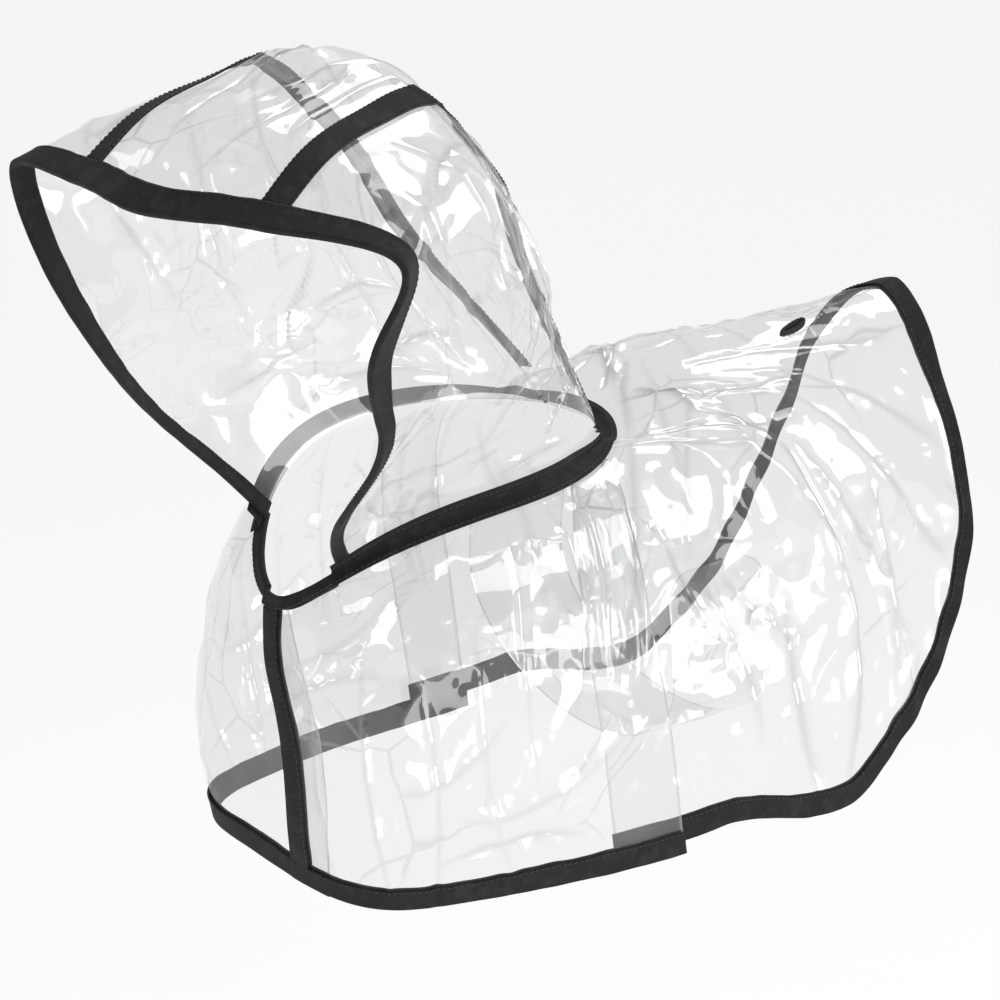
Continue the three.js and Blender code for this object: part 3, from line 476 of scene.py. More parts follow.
    def hood_share(self, back: Array, across: Array, along_arch: bool, length: float) -> Array:
        """Returns how much of the hood's parameter a real length takes."""
        back, across = np.broadcast_arrays(np.asarray(back, float), np.asarray(across, float))
        shape, back, across = back.shape, back.ravel(), across.ravel()
        step = 0.01
        a = self.plain_hood(back, across)
        if along_arch:
            b = self.plain_hood(back, across + np.where(across > 0, -step, step))
        else:
            b = self.plain_hood(back + step, across)
        return (length * step / np.linalg.norm(a - b, axis=1)).reshape(shape)

    def place_where(self, rows: Sequence[Rib], degrees: Array, low: float) -> Array:
        """Returns the places whose ribs start at angles round the neck opening."""
        places = np.linspace(low, 1, 2001)
        return np.interp(degrees, self.column(rows, lambda r: r.neck, places), places)


@dataclass
class Drawing:
    """Turns arrays of points in table millimetres into mesh objects in metres."""

    @staticmethod
    def metres(points: Array) -> Array:
        """Returns table points as row-frame points in metres."""
        return (np.asarray(points, float) - [0, 0, WITHERS_HEIGHT]) / 1000

    @classmethod
    def mesh(cls, name: str, points: Array, faces: Array, uvs: Array | None = None) -> bpy.types.Object:
        """Makes a smooth-shaded mesh object.

        Args:
            name: The piece's name.
            points: Its vertices in table millimetres.
            faces: Its four-sided faces as vertex numbers.
            uvs: A place in metres for each corner of each face.

        Returns:
            The linked object.
        """
        data = bpy.data.meshes.new(name)
        data.from_pydata(cls.metres(points).tolist(), [], np.asarray(faces).tolist())
        if uvs is not None:
            layer = data.uv_layers.new(name="cloth")
            layer.data.foreach_set("uv", np.asarray(uvs, np.float32).ravel())
        data.shade_smooth()
        data.update()
        piece = bpy.data.objects.new(name, data)
        bpy.context.scene.collection.objects.link(piece)
        return piece

    @staticmethod
    def grid_faces(rows: int, columns: int, loop_rows: bool = False, loop_columns: bool = False) -> Array:
        """Returns the faces of a grid of vertices numbered row by row."""
        i, j = np.meshgrid(
            np.arange(rows if loop_rows else rows - 1),
            np.arange(columns if loop_columns else columns - 1),
            indexing="ij",
        )
        i, j = i.ravel(), j.ravel()
        ni, nj = (i + 1) % rows, (j + 1) % columns
        return np.stack([i * columns + j, ni * columns + j, ni * columns + nj, i * columns + nj], 1)

    @classmethod
    def ribbon(cls, name: str, rings: Array, loop: bool = False) -> bpy.types.Object:
        """Makes a closed ribbon of cloth from rings of points round its section.

        Args:
            name: The piece's name.
            rings: Its sections, as an (n, k, 3) array.
            loop: Whether the last section joins the first.

        Returns:
            The ribbon, with its corners placed in metres along and round it.
        """
        n, k, _ = rings.shape
        along = cls.lengths(rings.mean(1), loop) / 1000
        middle = rings[n // 2]
        round_it = cls.lengths(middle, True) / 1000
        faces = cls.grid_faces(n, k, loop, True)
        i, j = faces[:, 0] // k, faces[:, 0] % k
        u0, u1, v0, v1 = along[i], along[i + 1], round_it[j], round_it[j + 1]
        uvs = np.stack([u0, v0, u1, v0, u1, v1, u0, v1], 1).reshape(-1, 4, 2)
        piece = cls.mesh(name, rings.reshape(-1, 3), faces, uvs)
        if not loop:
            cls.cap_ends(piece, n, k)
        return piece

    @staticmethod
    def lengths(points: Array, loop: bool) -> Array:
        """Returns the length run at each point of a line, with the whole round at its end if it loops."""
        closed = np.vstack([points, points[:1]]) if loop else points
        steps = np.linalg.norm(np.diff(closed, axis=0), axis=1)
        run = np.concatenate([[0], np.cumsum(steps)])
        return run if loop else np.append(run, run[-1])

    @staticmethod
    def cap_ends(piece: bpy.types.Object, rings: int, k: int) -> None:
        """Closes a ribbon's two ends with rows of four-sided faces across its section."""
        mesh = bmesh.new()
        mesh.from_mesh(piece.data)
        mesh.verts.ensure_lookup_table()
        for first in (0, (rings - 1) * k):
            for j in range(k // 2 - 1):
                corners = [first + j, first + j + 1, first + k - 2 - j, first + k - 1 - j]
                if len(set(corners)) == 4:
                    mesh.faces.new([mesh.verts[c] for c in corners])
        bmesh.ops.recalc_face_normals(mesh, faces=mesh.faces)
        mesh.to_mesh(piece.data)
        mesh.free()
        piece.data.shade_smooth()

    @staticmethod
    def tag(piece: bpy.types.Object, name: str, values: Array) -> None:
        """Keeps a number for each vertex, which the finishes read."""
        layer = piece.data.attributes.new(name, "FLOAT", "POINT")
        layer.data.foreach_set("value", np.asarray(values, np.float32).ravel())


class Signal:
    """A shader socket that takes part in arithmetic."""

    def __init__(self, paint: "Paint", socket: bpy.types.NodeSocket) -> None:
        """Wraps a socket of one of the paint's nodes."""
        self.paint = paint
        self.socket = socket

    def _math(self, operation: str, first: Any, second: Any = None) -> "Signal":
        """Returns a Math node's result on two operands."""
        inputs = {0: first} if second is None else {0: first, 1: second}
        return self.paint.add("ShaderNodeMath", {"operation": operation}, inputs)

    def __add__(self, other: Any) -> "Signal":
        """Adds a number or a signal."""
        return self._math("ADD", self, other)

    def __radd__(self, other: Any) -> "Signal":
        """Adds to a number."""
        return self._math("ADD", other, self)

    def __sub__(self, other: Any) -> "Signal":
        """Takes a number or a signal away."""
        return self._math("SUBTRACT", self, other)

    def __rsub__(self, other: Any) -> "Signal":
        """Takes this away from a number."""
        return self._math("SUBTRACT", other, self)

    def __mul__(self, other: Any) -> "Signal":
        """Multiplies by a number or a signal."""
        return self._math("MULTIPLY", self, other)

    def __rmul__(self, other: Any) -> "Signal":
        """Multiplies a number."""
        return self._math("MULTIPLY", other, self)

    def __pow__(self, other: Any) -> "Signal":
        """Raises to a power."""
        return self._math("POWER", self, other)

    def wave(self) -> "Signal":
        """Returns the sine."""
        return self._math("SINE", self)

    def above(self, other: Any) -> "Signal":
        """Returns the larger of the two."""
        return self._math("MAXIMUM", self, other)

    def soft_step(self, low: float, high: float) -> "Signal":
        """Returns a soft step from 0 at low to 1 at high."""
        settings = {"interpolation_type": "SMOOTHSTEP"}
        return self.paint.add("ShaderNodeMapRange", settings, {0: self, 1: low, 2: high, 3: 0.0, 4: 1.0})


class Paint:
    """A material under construction."""

    def __init__(self, name: str) -> None:
        """Starts an empty material with a Principled shader."""
        self.material = bpy.data.materials.new(name)
        self.material.use_nodes = True
        self.tree = self.material.node_tree
        self.tree.nodes.clear()
        self.shader = self.tree.nodes.new("ShaderNodeBsdfPrincipled")
        output = self.tree.nodes.new("ShaderNodeOutputMaterial")
        self.tree.links.new(self.shader.outputs[0], output.inputs[0])

    def put(self, node: bpy.types.Node, inputs: dict[Any, Any]) -> None:
        """Sets or links a node's sockets, which are named or numbered."""
        for key, value in inputs.items():
            if isinstance(value, Signal):
                self.tree.links.new(value.socket, node.inputs[key])
            else:
                node.inputs[key].default_value = value

    def add(self, kind: str, settings: dict[str, Any], inputs: dict[Any, Any], out: int | str = 0) -> Signal:
        """Makes any node.

        Args:
            kind: The node's type.
            settings: Its own settings, set first. "stops" gives a colour ramp's stops.
            inputs: Values or signals for its sockets.
            out: The output to read.

        Returns:
            The output as a signal.
        """
        node = self.tree.nodes.new(kind)
        for key, value in settings.items():
            if key == "stops":
                ramp = node.color_ramp.elements
                while len(ramp) < len(value):
                    ramp.new(1.0)
                for element, (place, color) in zip(ramp, value):
                    element.position, element.color = place, color
            else:
                setattr(node, key, value)
        self.put(node, inputs)
        return Signal(self, node.outputs[out])

    def noise(self, vector: Signal, scale: float, detail: float = 3, distortion: float = 0.0) -> Signal:
        """Returns a noise from 0 to 1."""
        inputs = {"Vector": vector, "Scale": scale, "Detail": detail, "Distortion": distortion}
        return self.add("ShaderNodeTexNoise", {}, inputs)

    def stretched(self, vector: Signal, scale: tuple[float, float, float]) -> Signal:
        """Returns a vector with each part multiplied."""
        return self.add("ShaderNodeVectorMath", {"operation": "MULTIPLY"}, {0: vector, 1: scale})

    def part(self, vector: Signal, axis: int) -> Signal:
        """Returns one part of a vector."""
        return self.add("ShaderNodeSeparateXYZ", {}, {0: vector}, axis)

    def blend(self, factor: Signal, first: Any, second: Any) -> Signal:
        """Returns a colour between two."""
        return self.add("ShaderNodeMix", {"data_type": "RGBA"}, {0: factor, 6: first, 7: second}, 2)

    def bump(self, height: Signal, distance: float, strength: float, under: Signal | None = None) -> Signal:
        """Returns a normal bumped by a height, over another normal if one is given."""
        inputs: dict[Any, Any] = {"Height": height, "Distance": distance, "Strength": strength}
        if under is not None:
            inputs["Normal"] = under
        return self.add("ShaderNodeBump", {}, inputs)

    def tagged(self, name: str) -> Signal:
        """Returns a number kept on the vertices."""
        return self.add("ShaderNodeAttribute", {"attribute_name": name}, {}, "Fac")


@dataclass(frozen=True)
class ClearFilm:
    """Clear flexible film: glossy, faintly grey, denser along its edges, creases and crumpled places, with
    painted shade there and along its grazing outline.

    Attributes:
        tint: Its colour in the random milky patches, which also stand in for painted shading.
        shade: Its colour where it is clear.
        line: The colour of its painted shade along creases, crumple ridges, cut edges and grazing outline.
        body: How much of what lies behind it hides where it is flat.
        waves: The waves' scales, per metre, with their heights in millimetres.
        facets: How many crumpled facets to the metre.
        slope: How steep the facets are.
    """

    tint: tuple[float, float, float, float] = (0.44, 0.45, 0.46, 1)
    shade: tuple[float, float, float, float] = (0.24, 0.25, 0.26, 1)
    line: tuple[float, float, float, float] = (0.16, 0.17, 0.18, 1)
    body: float = 0.21
    waves: tuple[tuple[float, float], ...] = ((13, 3.4), (30, 0.6), (150, 0.08))
    facets: float = 15
    slope: float = 0.10

    def material(self, name: str) -> bpy.types.Material:
        """Returns the finish as a material."""
        paint = Paint(name)
        place = paint.add("ShaderNodeTexCoord", {}, {}, "Object")
        (broad, broad_high), (mid, mid_high), (fine, fine_high) = self.waves
        swell = paint.noise(place, broad, 1)
        dents = paint.noise(place, mid, 0)
        grain = paint.noise(place, fine, 0)
        # Random milky patches, lighter grey, which also stand in for painted shading.
        milk_and_shade = paint.noise(place, 9, 2).soft_step(0.40, 0.70)
        wander = paint.add("ShaderNodeTexNoise", {}, {"Vector": place, "Scale": 22.0, "Detail": 0.0}, "Color")
        bent = paint.add("ShaderNodeMix", {"data_type": "VECTOR"}, {0: 0.012, 4: place, 5: wander}, 1)
        edges = {"feature": "DISTANCE_TO_EDGE"}
        cells = paint.add("ShaderNodeTexVoronoi", edges, {"Vector": bent, "Scale": self.facets}, "Distance")
        crumpled = paint.noise(place, 12, 0).soft_step(0.46, 0.62)
        # Painted shade lines along the crumpled facets' ridges, where the crumple mask allows.
        folds = (1 - cells.soft_step(0.0, 0.022)) * crumpled
        facing = paint.add("ShaderNodeLayerWeight", {}, {"Blend": 0.3}, "Facing")
        # Vertex strengths of the painted shade lines along cut edges and creases.
        edge, crease = paint.tagged("edge"), paint.tagged("crease")
        # Painted shade at the grazing outline: the more edge-on the film is seen, the darker its colour.
        rim = facing**5
        # All painted shade lines: creases, crumple ridges and cut edges, which also make the film denser.
        lines = (crease * 1.0).above(folds * 0.45).above(edge * 0.9)
        tone = paint.blend(milk_and_shade, self.shade, self.tint)
        relief = cells * (crumpled + 0.35) * (1000 * self.slope / self.facets)
        height = swell * broad_high + dents * mid_high + grain * fine_high + relief
        paint.put(
            paint.shader,
            {
                # Base colour: darkened towards line along the painted shade lines and the grazing outline.
                "Base Color": paint.blend(lines.above(rim * 0.6), tone, self.line),
                "Alpha": self.body + 0.05 * milk_and_shade + 0.5 * lines + 0.5 * rim,
                "Roughness": 0.12 + 0.10 * grain,
                "Specular IOR Level": 1.0,
                "IOR": 1.6,
                "Coat Weight": 1.0,
                "Coat Roughness": 0.02,
                "Coat IOR": 3.0,
                "Normal": paint.bump(height, 0.001, 1.0),
            },
        )
        return paint.material


@dataclass(frozen=True)
class WovenBinding:
    """Matt black woven tape with a fine rib across it and a slight nap."""

    tint: tuple[float, float, float, float] = (0.006, 0.006, 0.0065, 1)
    light: tuple[float, float, float, float] = (0.03, 0.03, 0.032, 1)
    rib: float = 0.0007
    roughness: float = 0.62

    def material(self, name: str) -> bpy.types.Material:
        """Returns the finish as a material."""
        paint = Paint(name)
        cloth = paint.add("ShaderNodeUVMap", {"uv_map": "cloth"}, {})
        place = paint.add("ShaderNodeTexCoord", {}, {}, "Object")
        turns = 2 * math.pi / self.rib
        warp = (paint.part(cloth, 0) * turns).wave()
        weft = (paint.part(cloth, 1) * turns).wave()
        weave = warp * weft
        wear = paint.noise(place, 110, 4, 0.8)
        lint = paint.noise(place, 900, 2)
        shade = 0.30 * weave.soft_step(-1, 1) + 0.8 * wear.soft_step(0.45, 0.7) * lint
        height = weave * 0.5 + lint * 0.6 + wear * 1.5
        paint.put(
            paint.shader,
            {
                "Base Color": paint.blend(shade, self.tint, self.light),
                "Roughness": self.roughness + 0.2 * lint,
                "Specular IOR Level": 0.25,
                "Sheen Weight": 0.03,
                "Sheen Roughness": 0.4,
                "Normal": paint.bump(height, 0.0003, 0.5),
            },
        )
        return paint.material


@dataclass(frozen=True)
class Thread:
    """Twisted black sewing thread with a soft sheen."""

    tint: tuple[float, float, float, float] = (0.015, 0.015, 0.017, 1)
    light: tuple[float, float, float, float] = (0.05, 0.05, 0.054, 1)

    def material(self, name: str) -> bpy.types.Material:
        """Returns the finish as a material."""
        paint = Paint(name)
        place = paint.add("ShaderNodeTexCoord", {}, {}, "Object")
        ply = paint.noise(paint.stretched(place, (1, 1, 1)), 2600, 1)
        paint.put(
            paint.shader,
            {
                "Base Color": paint.blend(ply, self.tint, self.light),
                "Roughness": 0.42 + 0.2 * ply,
                "Normal": paint.bump(ply, 0.0001, 0.5),
            },
        )
        return paint.material


@dataclass(frozen=True)
class SnapPlastic:
    """Pale moulded plastic of the snaps, slightly uneven in gloss, with random grey patches of painted shade.
    """

    tint: tuple[float, float, float, float] = (0.92, 0.92, 0.92, 1)
    # Grey of the painted shade patches.
    shade: tuple[float, float, float, float] = (0.60, 0.61, 0.62, 1)

    def material(self, name: str) -> bpy.types.Material:
        """Returns the finish as a material."""
        paint = Paint(name)
        place = paint.add("ShaderNodeTexCoord", {}, {}, "Object")
        # Random flow patches: uneven gloss and bump, and grey patches of painted shade in the colour.
        flow_and_shade = paint.noise(place, 180, 3, 0.5)
        grain = paint.noise(place, 1500, 2)
        paint.put(
            paint.shader,
            {
                "Base Color": paint.blend(flow_and_shade.soft_step(0.3, 0.7), self.shade, self.tint),
                "Roughness": 0.28 + 0.18 * flow_and_shade,
                "Coat Weight": 0.3,
                "Coat Roughness": 0.15,
                "Normal": paint.bump(grain * 0.4 + flow_and_shade, 0.0002, 0.3),
            },
        )
        return paint.material


@dataclass(frozen=True)
class PaleFloor:
    """The studio's plain pale floor."""

    tint: tuple[float, float, float, float] = (0.20, 0.20, 0.20, 1)
    shade: tuple[float, float, float, float] = (0.18, 0.18, 0.181, 1)

    def material(self, name: str) -> bpy.types.Material:
        """Returns the finish as a material."""
        paint = Paint(name)
        place = paint.add("ShaderNodeTexCoord", {}, {}, "Object")
        cloud = paint.noise(place, 2, 2)
        paint.put(
            paint.shader,
            {
                "Base Color": paint.blend(cloud, self.shade, self.tint),
                "Roughness": 0.9,
                "Specular IOR Level": 0.1,
                "Emission Color": (1, 1, 1, 1),
                "Emission Strength": 0.83,
            },
        )
        return paint.material


@dataclass
class Finishes:
    """The coat's materials, one for each record slot."""

    film: bpy.types.Material = field(init=False)
    binding: bpy.types.Material = field(init=False)
    thread: bpy.types.Material = field(init=False)
    snap: bpy.types.Material = field(init=False)

    def __post_init__(self) -> None:
        """Makes the materials."""
        self.film = ClearFilm().material("clear_film")
        self.binding = WovenBinding().material("woven_binding")
        self.thread = Thread().material("black_thread")
        self.snap = SnapPlastic().material("snap_plastic")


@dataclass
class Workroom:
    """What every sub-assembly needs to make and dress its pieces."""

    form: CoatForm
    finishes: Finishes

    def dress(
        self, piece: bpy.types.Object, finish: bpy.types.Material, slot: str, nodes: Iterable[str] = ()
    ) -> bpy.types.Object:
        """Gives a piece its finish and body, and hides the solids that it stands for."""
        piece.data.materials.clear()
        piece.data.materials.append(finish)
        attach(piece, "root")
        if nodes:
            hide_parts(*nodes)
        log.info("%s: %d faces", piece.name, len(piece.data.polygons))
        return piece

    def film_sheet(
        self, name: str, held: Held, shape: tuple[int, int], edge: Array, crease_shade: Array, seed: int
    ) -> bpy.types.Object:
        """Makes a thin shell of film with fine crumples that fade out at its edges.

        Args:
            name: The piece's name, which is also its solid's.
            held: The shell's points, column by column.
            shape: Its columns and rows.
            edge: Millimetres from the nearest edge at each point.
            crease_shade: How strongly a crease's painted shade line shows at each point.
            seed: Which crumples it gets.

        Returns:
            The piece, with the strengths of its painted shade lines along its cut edges and creases kept for
            its finish.
        """
        room = smooth((edge - 5) / 22)
        shift = Vector((seed * 3.1, seed * 1.7, seed * 0.9))
        rough = np.array([
            abs(noise.noise(Vector(p) * 0.034 + shift)) + 0.2 * abs(noise.noise(Vector(p) * 0.083 - shift))
            for p in held.points
        ])
        points = held.out(room * (1.1 - 3.4 * np.minimum(rough, 0.6)))
        piece = Drawing.mesh(name + "_film", points, Drawing.grid_faces(*shape))
        # The edge and crease tags set where the finish paints shade lines.
        Drawing.tag(piece, "edge", 1 - smooth((edge - 0.3) / 1.2))
        Drawing.tag(piece, "crease", crease_shade)
        piece.visible_shadow = False
        piece.visible_diffuse = False
        piece.visible_glossy = False
        return self.dress(piece, self.finishes.film, "film", [name])

    def stitching(self, name: str, line: Array, normals: Array, pitch: float = 3.2) -> tuple[Array, Array]:
        """Returns the vertices and faces of a row of stitches along a line.

        Args:
            name: What is sewn, for the log.
            line: The line's points in table millimetres.
            normals: The cloth's normals along it.
            pitch: Millimetres from one stitch to the next.

        Returns:
            The vertices, and the faces as vertex numbers.
        """
        run = Drawing.lengths(line, False)[:-1]
        count = max(1, int(run[-1] / pitch))
        starts = (np.arange(count) + 0.14) * run[-1] / count
        stops = starts + 0.72 * run[-1] / count

        def at(lengths: Array) -> Array:
            """Returns points of the line at lengths along it."""
            return np.stack([np.interp(lengths, run, line[:, k]) for k in range(3)], 1)

        up = np.stack([np.interp((starts + stops) / 2, run, normals[:, k]) for k in range(3)], 1)
        up /= np.linalg.norm(up, axis=1)[:, None]
        a, b = at(starts), at(stops)
        ahead = b - a
        ahead /= np.linalg.norm(ahead, axis=1)[:, None] + 1e-9
        aside = np.cross(up, ahead)
        sides = 5
        end, shoulder, crown = (0.10, -0.12), (0.26, 0.04), (0.28, 0.10)
        rings = ((0.0, *end), (0.18, *shoulder), (0.5, *crown), (0.82, *shoulder), (1.0, *end))
        vertices = []
        for share, radius, lift in rings:
            centre = a + (b - a) * share + up * lift
            for s in range(sides):
                angle = 2 * math.pi * s / sides
                vertices.append(centre + aside * radius * math.cos(angle) + up * radius * math.sin(angle))
        block = np.stack(vertices, 1)
        one = Drawing.grid_faces(len(rings), sides, False, True)
        faces = (one[None] + (np.arange(count) * len(rings) * sides)[:, None, None]).reshape(-1, 4)
        log.info("%s: %d stitches", name, count)
        return block.reshape(-1, 3), faces

    def sew(self, name: str, lines: Sequence[tuple[Array, Array]]) -> bpy.types.Object:
        """Makes one piece of all the stitches along some lines."""
        vertices, faces, count = [], [], 0
        for line, normals in lines:
            own, ring = self.stitching(name, line, normals)
            vertices.append(own)
            faces.append(ring + count)
            count += len(own)
        piece = Drawing.mesh(name, np.vstack(vertices), np.vstack(faces))
        return self.dress(piece, self.finishes.thread, "binding")

    def folded_binding(
        self, name: str, strip: list[Held], loop: bool = False, height: float = 1.38
    ) -> bpy.types.Object:
        """Makes a binding folded round an edge, with its stitches through both leaves.

        Args:
            name: The piece's name, which is also its solid's.
            strip: Lines of points from the edge inward, a binding's width in all.
            loop: Whether the edge is closed.
            height: From the film to the middle of each leaf.

        Returns:
            The binding.
        """
        thick = 0.45
        outward = strip[0].points - strip[-1].points
        outward /= np.linalg.norm(outward, axis=1)[:, None]
        run = Drawing.lengths(strip[0].points, False)[:-1] * 0.09
        uneven = np.array([0.0 if loop else noise.noise(Vector((s, len(name), 0.5))) for s in run])
        strip = [
            Held(h.points + outward * (uneven * (0.25 - 1.0 * k / len(strip)))[:, None], h.normals)
            for k, h in enumerate(strip)
        ]
        edge = strip[0]

        def path(offset: float) -> list[Array]:
            """Returns the cloth's section, lines from one leaf's tip round the edge to the other's."""
            upper = [h.out(height + offset) for h in reversed(strip)]
            bend = []
            for angle in np.radians([72, 40, 0, -40, -72]):
                reach = 0.35 + (0.5 + offset) * math.cos(angle)
                rise = (height + offset) * math.sin(angle)
                bend.append(edge.points + outward * reach + edge.normals * rise)
            lower = [h.out(-height - offset) for h in strip]
            return [*upper, *bend, *lower]

        tip = strip[-1].points - outward * 0.25
        ends = (tip + strip[-1].normals * height, tip - strip[-1].normals * height)
        rings = np.stack([*path(thick), ends[1], *reversed(path(-thick)), ends[0]], 1)
        piece = Drawing.ribbon(name + "_cloth", rings, loop)
        self.dress(piece, self.finishes.binding, "binding", [name])
        seam = Held((strip[-2].points * 0.3 + strip[-1].points * 0.7), strip[-1].normals)
        rise = height + thick + 0.05
        lines = [(seam.out(rise), seam.normals), (seam.out(-rise), -seam.normals)]
        self.sew(name + "_stitches", lines)
        return piece

    def flat_tape(
        self, name: str, strip: list[Array], normals: list[Array], seams: Sequence[int], thick: float = 0.9
    ) -> bpy.types.Object:
        """Makes a flat tape from lines of points on its underside.

        Args:
            name: The piece's name, which is also its solid's.
            strip: The lines of points, side by side.
            normals: The normals along each line.
            seams: The lines that are sewn through.
            thick: The tape's thickness.

        Returns:
            The tape.
        """
        upper = [p + n * thick for p, n in zip(strip, normals)]
        first = strip[0] + (strip[0] - strip[1]) * 0.06 + normals[0] * thick / 2
        last = strip[-1] + (strip[-1] - strip[-2]) * 0.06 + normals[-1] * thick / 2
        rings = np.stack([*upper, last, *reversed(strip), first], 1)
        piece = Drawing.ribbon(name + "_cloth", rings)
        self.dress(piece, self.finishes.binding, "binding", [name])
        lines = [(upper[k] + normals[k] * 0.05, normals[k]) for k in seams]
        self.sew(name + "_stitches", lines)
        return piece


@dataclass(frozen=True)
class Edge:
    """A panel's edge: the place round the body for each distance down the ribs."""

    down: tuple[float, ...]
    around: tuple[float, ...]

    def at(self, down: Array) -> Array:
        """Returns the edge's places at distances down the ribs."""
        return through(np.array(self.down), np.array(self.around), down)


@dataclass
class FrontPanels:
    """The left front, the right front that laps under it, and their bindings.

    Attributes:
        columns: Columns of each shell.
        rows: Rows of each shell.
        left_over: How far outside the back panel the fronts lie.
        neck_over: How far outside they lie at the neck.
        underlap: How far inside the left front the right one starts.
        fullness: How far the right chest corner stands out.
        hem_raised: How much higher the left hem is than the right.
        throat_width: How far the throat bindings cover the fronts.
        cut: The flat size of one front, in metres; not used.
    """

    room: Workroom
    columns: int = 150
    rows: int = 120
    left_over: float = 4.4
    neck_over: float = 2.0
    underlap: float = -1.2
    fullness: float = 11
    hem_raised: float = 7
    throat_width: float = 6
    cut: tuple[float, float] = (0.30, 0.22)
    closing: Edge = Edge((0, 0.2, 0.45, 0.8, 1), (-0.012, 0.02, 0.071, 0.079, 0.076))
    rear: Edge = Edge((0, 0.2, 0.43, 0.7, 1), (0.69, 0.624, 0.612, 0.632, 0.652))

    def height(self, side: Side, around: Array, down: Array) -> Array:
        """Returns how far outside the plain body a front lies."""
        own = mix(self.neck_over, self.left_over, smooth(down / 0.3))
        if side is Side.LEFT:
            return own
        share = np.where(around > 0, 0.0, smooth((-around - 0.1) / 0.3))
        corner = np.exp(-(((around + 0.14) / 0.1) ** 2)) * smooth((down - 0.1) / 0.7)
        return mix(self.underlap, own, share) + self.fullness * corner

    def hem(self, side: Side, around: Array) -> Array:
        """Returns how far down the ribs a front's hem lies."""
        if side is Side.RIGHT:
            return np.ones_like(around)
        return 1 - self.room.form.body_share(around, np.ones_like(around), True, self.hem_raised)

    def edges(self, side: Side, down: Array) -> tuple[Array, Array]:
        """Returns the places of a front's two upright edges."""
        start = self.closing.at(down)
        end = self.rear.at(down)
        return (start, end) if side is Side.LEFT else (start + 0.05, -end)

    def place(self, side: Side, f: Array, g: Array, creased: float = 1.0) -> tuple[Held, Array, Array]:
        """Finds points of a front.

        Args:
            side: Which front.
            f: 0 at its closing edge and 1 at its rear edge.
            g: 0 at the neck and 1 at the hem.
            creased: The share of the fine creases.

        Returns:
            The points, their places round the body and how far down they are.
        """
        form = self.room.form
        f, g = np.asarray(f, float).ravel(), np.asarray(g, float).ravel()
        start, end = self.edges(side, np.full(f.size, 0.5))
        middle = np.abs(mix(start, end, f))
        top = form.body_share(middle, np.zeros_like(middle), True, 2.6)
        down = mix(top, self.hem(side, middle), g)
        start, end = self.edges(side, down)
        around = mix(start, end, f)
        held = form.body(around, down, creased)
        return Held(held.out(self.height(side, around, down)), held.normals), around, down

    def shell(self, side: Side) -> bpy.types.Object:
        """Builds one front's film."""
        f, g = np.meshgrid(np.linspace(0, 1, self.columns), np.linspace(0, 1, self.rows), indexing="ij")
        held, around, down = self.place(side, f, g)
        edge = edge_distance(held.points.reshape(self.columns, self.rows, 3))
        name = "front_left" if side is Side.LEFT else "front_right"
        crease_shade = crease_shade_lines(BODY_CREASES, around, down, BODY_SCALE)
        shape = (self.columns, self.rows)
        piece = self.room.film_sheet(name, held, shape, edge, crease_shade, 3 if side is Side.LEFT else 5)
        return piece

    def hem_binding(self, side: Side) -> None:
        """Builds the binding folded round one front's hem."""
        f = np.linspace(0, 1, 190)
        lines = []
        form = self.room.form
        for inward in np.linspace(0, BINDING_WIDTH, 7):
            start, end = self.edges(side, np.full(f.size, 0.5))
            middle = np.abs(mix(start, end, f))
            span = 1 - form.body_share(middle, np.zeros_like(middle), True, 2.6)
            share = form.body_share(middle, np.ones_like(middle), True, inward) / span
            lines.append(self.place(side, f, 1 - share)[0])
        name = "front_left_hem" if side is Side.LEFT else "front_right_hem"
        piece = self.room.folded_binding(name, lines)

    def edge_binding(self) -> None:
        """Builds the binding down the left front's closing edge."""
        form = self.room.form
        start = self.edges(Side.LEFT, np.array([0.1, 0.9]))[0]
        near = form.body_share(start, np.array([0.1, 0.9]), True, 1.0)
        g = np.linspace((self.throat_width + 0.4) * near[0], 1 - (BINDING_WIDTH - 3.0) * near[1], 110)
        lines = []
        for inward in np.linspace(0, BINDING_WIDTH, 7):
            start, end = self.edges(Side.LEFT, g)
            share = form.body_share(start, g, False, inward) / (end - start)
            lines.append(self.place(Side.LEFT, share, g)[0])
        piece = self.room.folded_binding("front_edge_binding", lines)

    def throat_binding(self, side: Side) -> None:
        """Builds the binding on one front's throat edge, up to the neck band's end."""
        form = self.room.form
        stop = form.place_where(form.ribs, np.array([33.0]), 0)[0]
        stop = stop + form.body_share(0.15, 0.0, False, 3.0 if side is Side.LEFT else 9.0)
        begin = -0.012 if side is Side.LEFT else 0.03
        around = np.linspace(begin, float(stop), 60)
        lines = []
        for inward in np.linspace(0, self.throat_width, 6):
            top = form.body_share(np.abs(around), np.zeros(60), True, 2.6 + inward)
            place = around if side is Side.LEFT else -around
            held = form.body(place, top, 1.0)
            lines.append(Held(held.out(self.height(side, place, top)), held.normals))
        name = "throat_binding_left" if side is Side.LEFT else "throat_binding_right"
        piece = self.room.folded_binding(name, lines)

    def build(self) -> None:
        """Builds both fronts with their bindings."""
        for side in Side:
            self.shell(side)
            self.hem_binding(side)
            self.throat_binding(side)
        self.edge_binding()


def edge_distance(grid: Array) -> Array:
    """Returns the length along the grid from each point to the nearest of its four edges."""
    across = np.linalg.norm(np.diff(grid, axis=0), axis=2)
    along = np.linalg.norm(np.diff(grid, axis=1), axis=2)
    n, m = grid.shape[:2]
    x = np.vstack([np.zeros((1, m)), np.cumsum(across, 0)])
    y = np.hstack([np.zeros((n, 1)), np.cumsum(along, 1)])
    return np.minimum(np.minimum(x, x[-1:] - x), np.minimum(y, y[:, -1:] - y)).ravel()


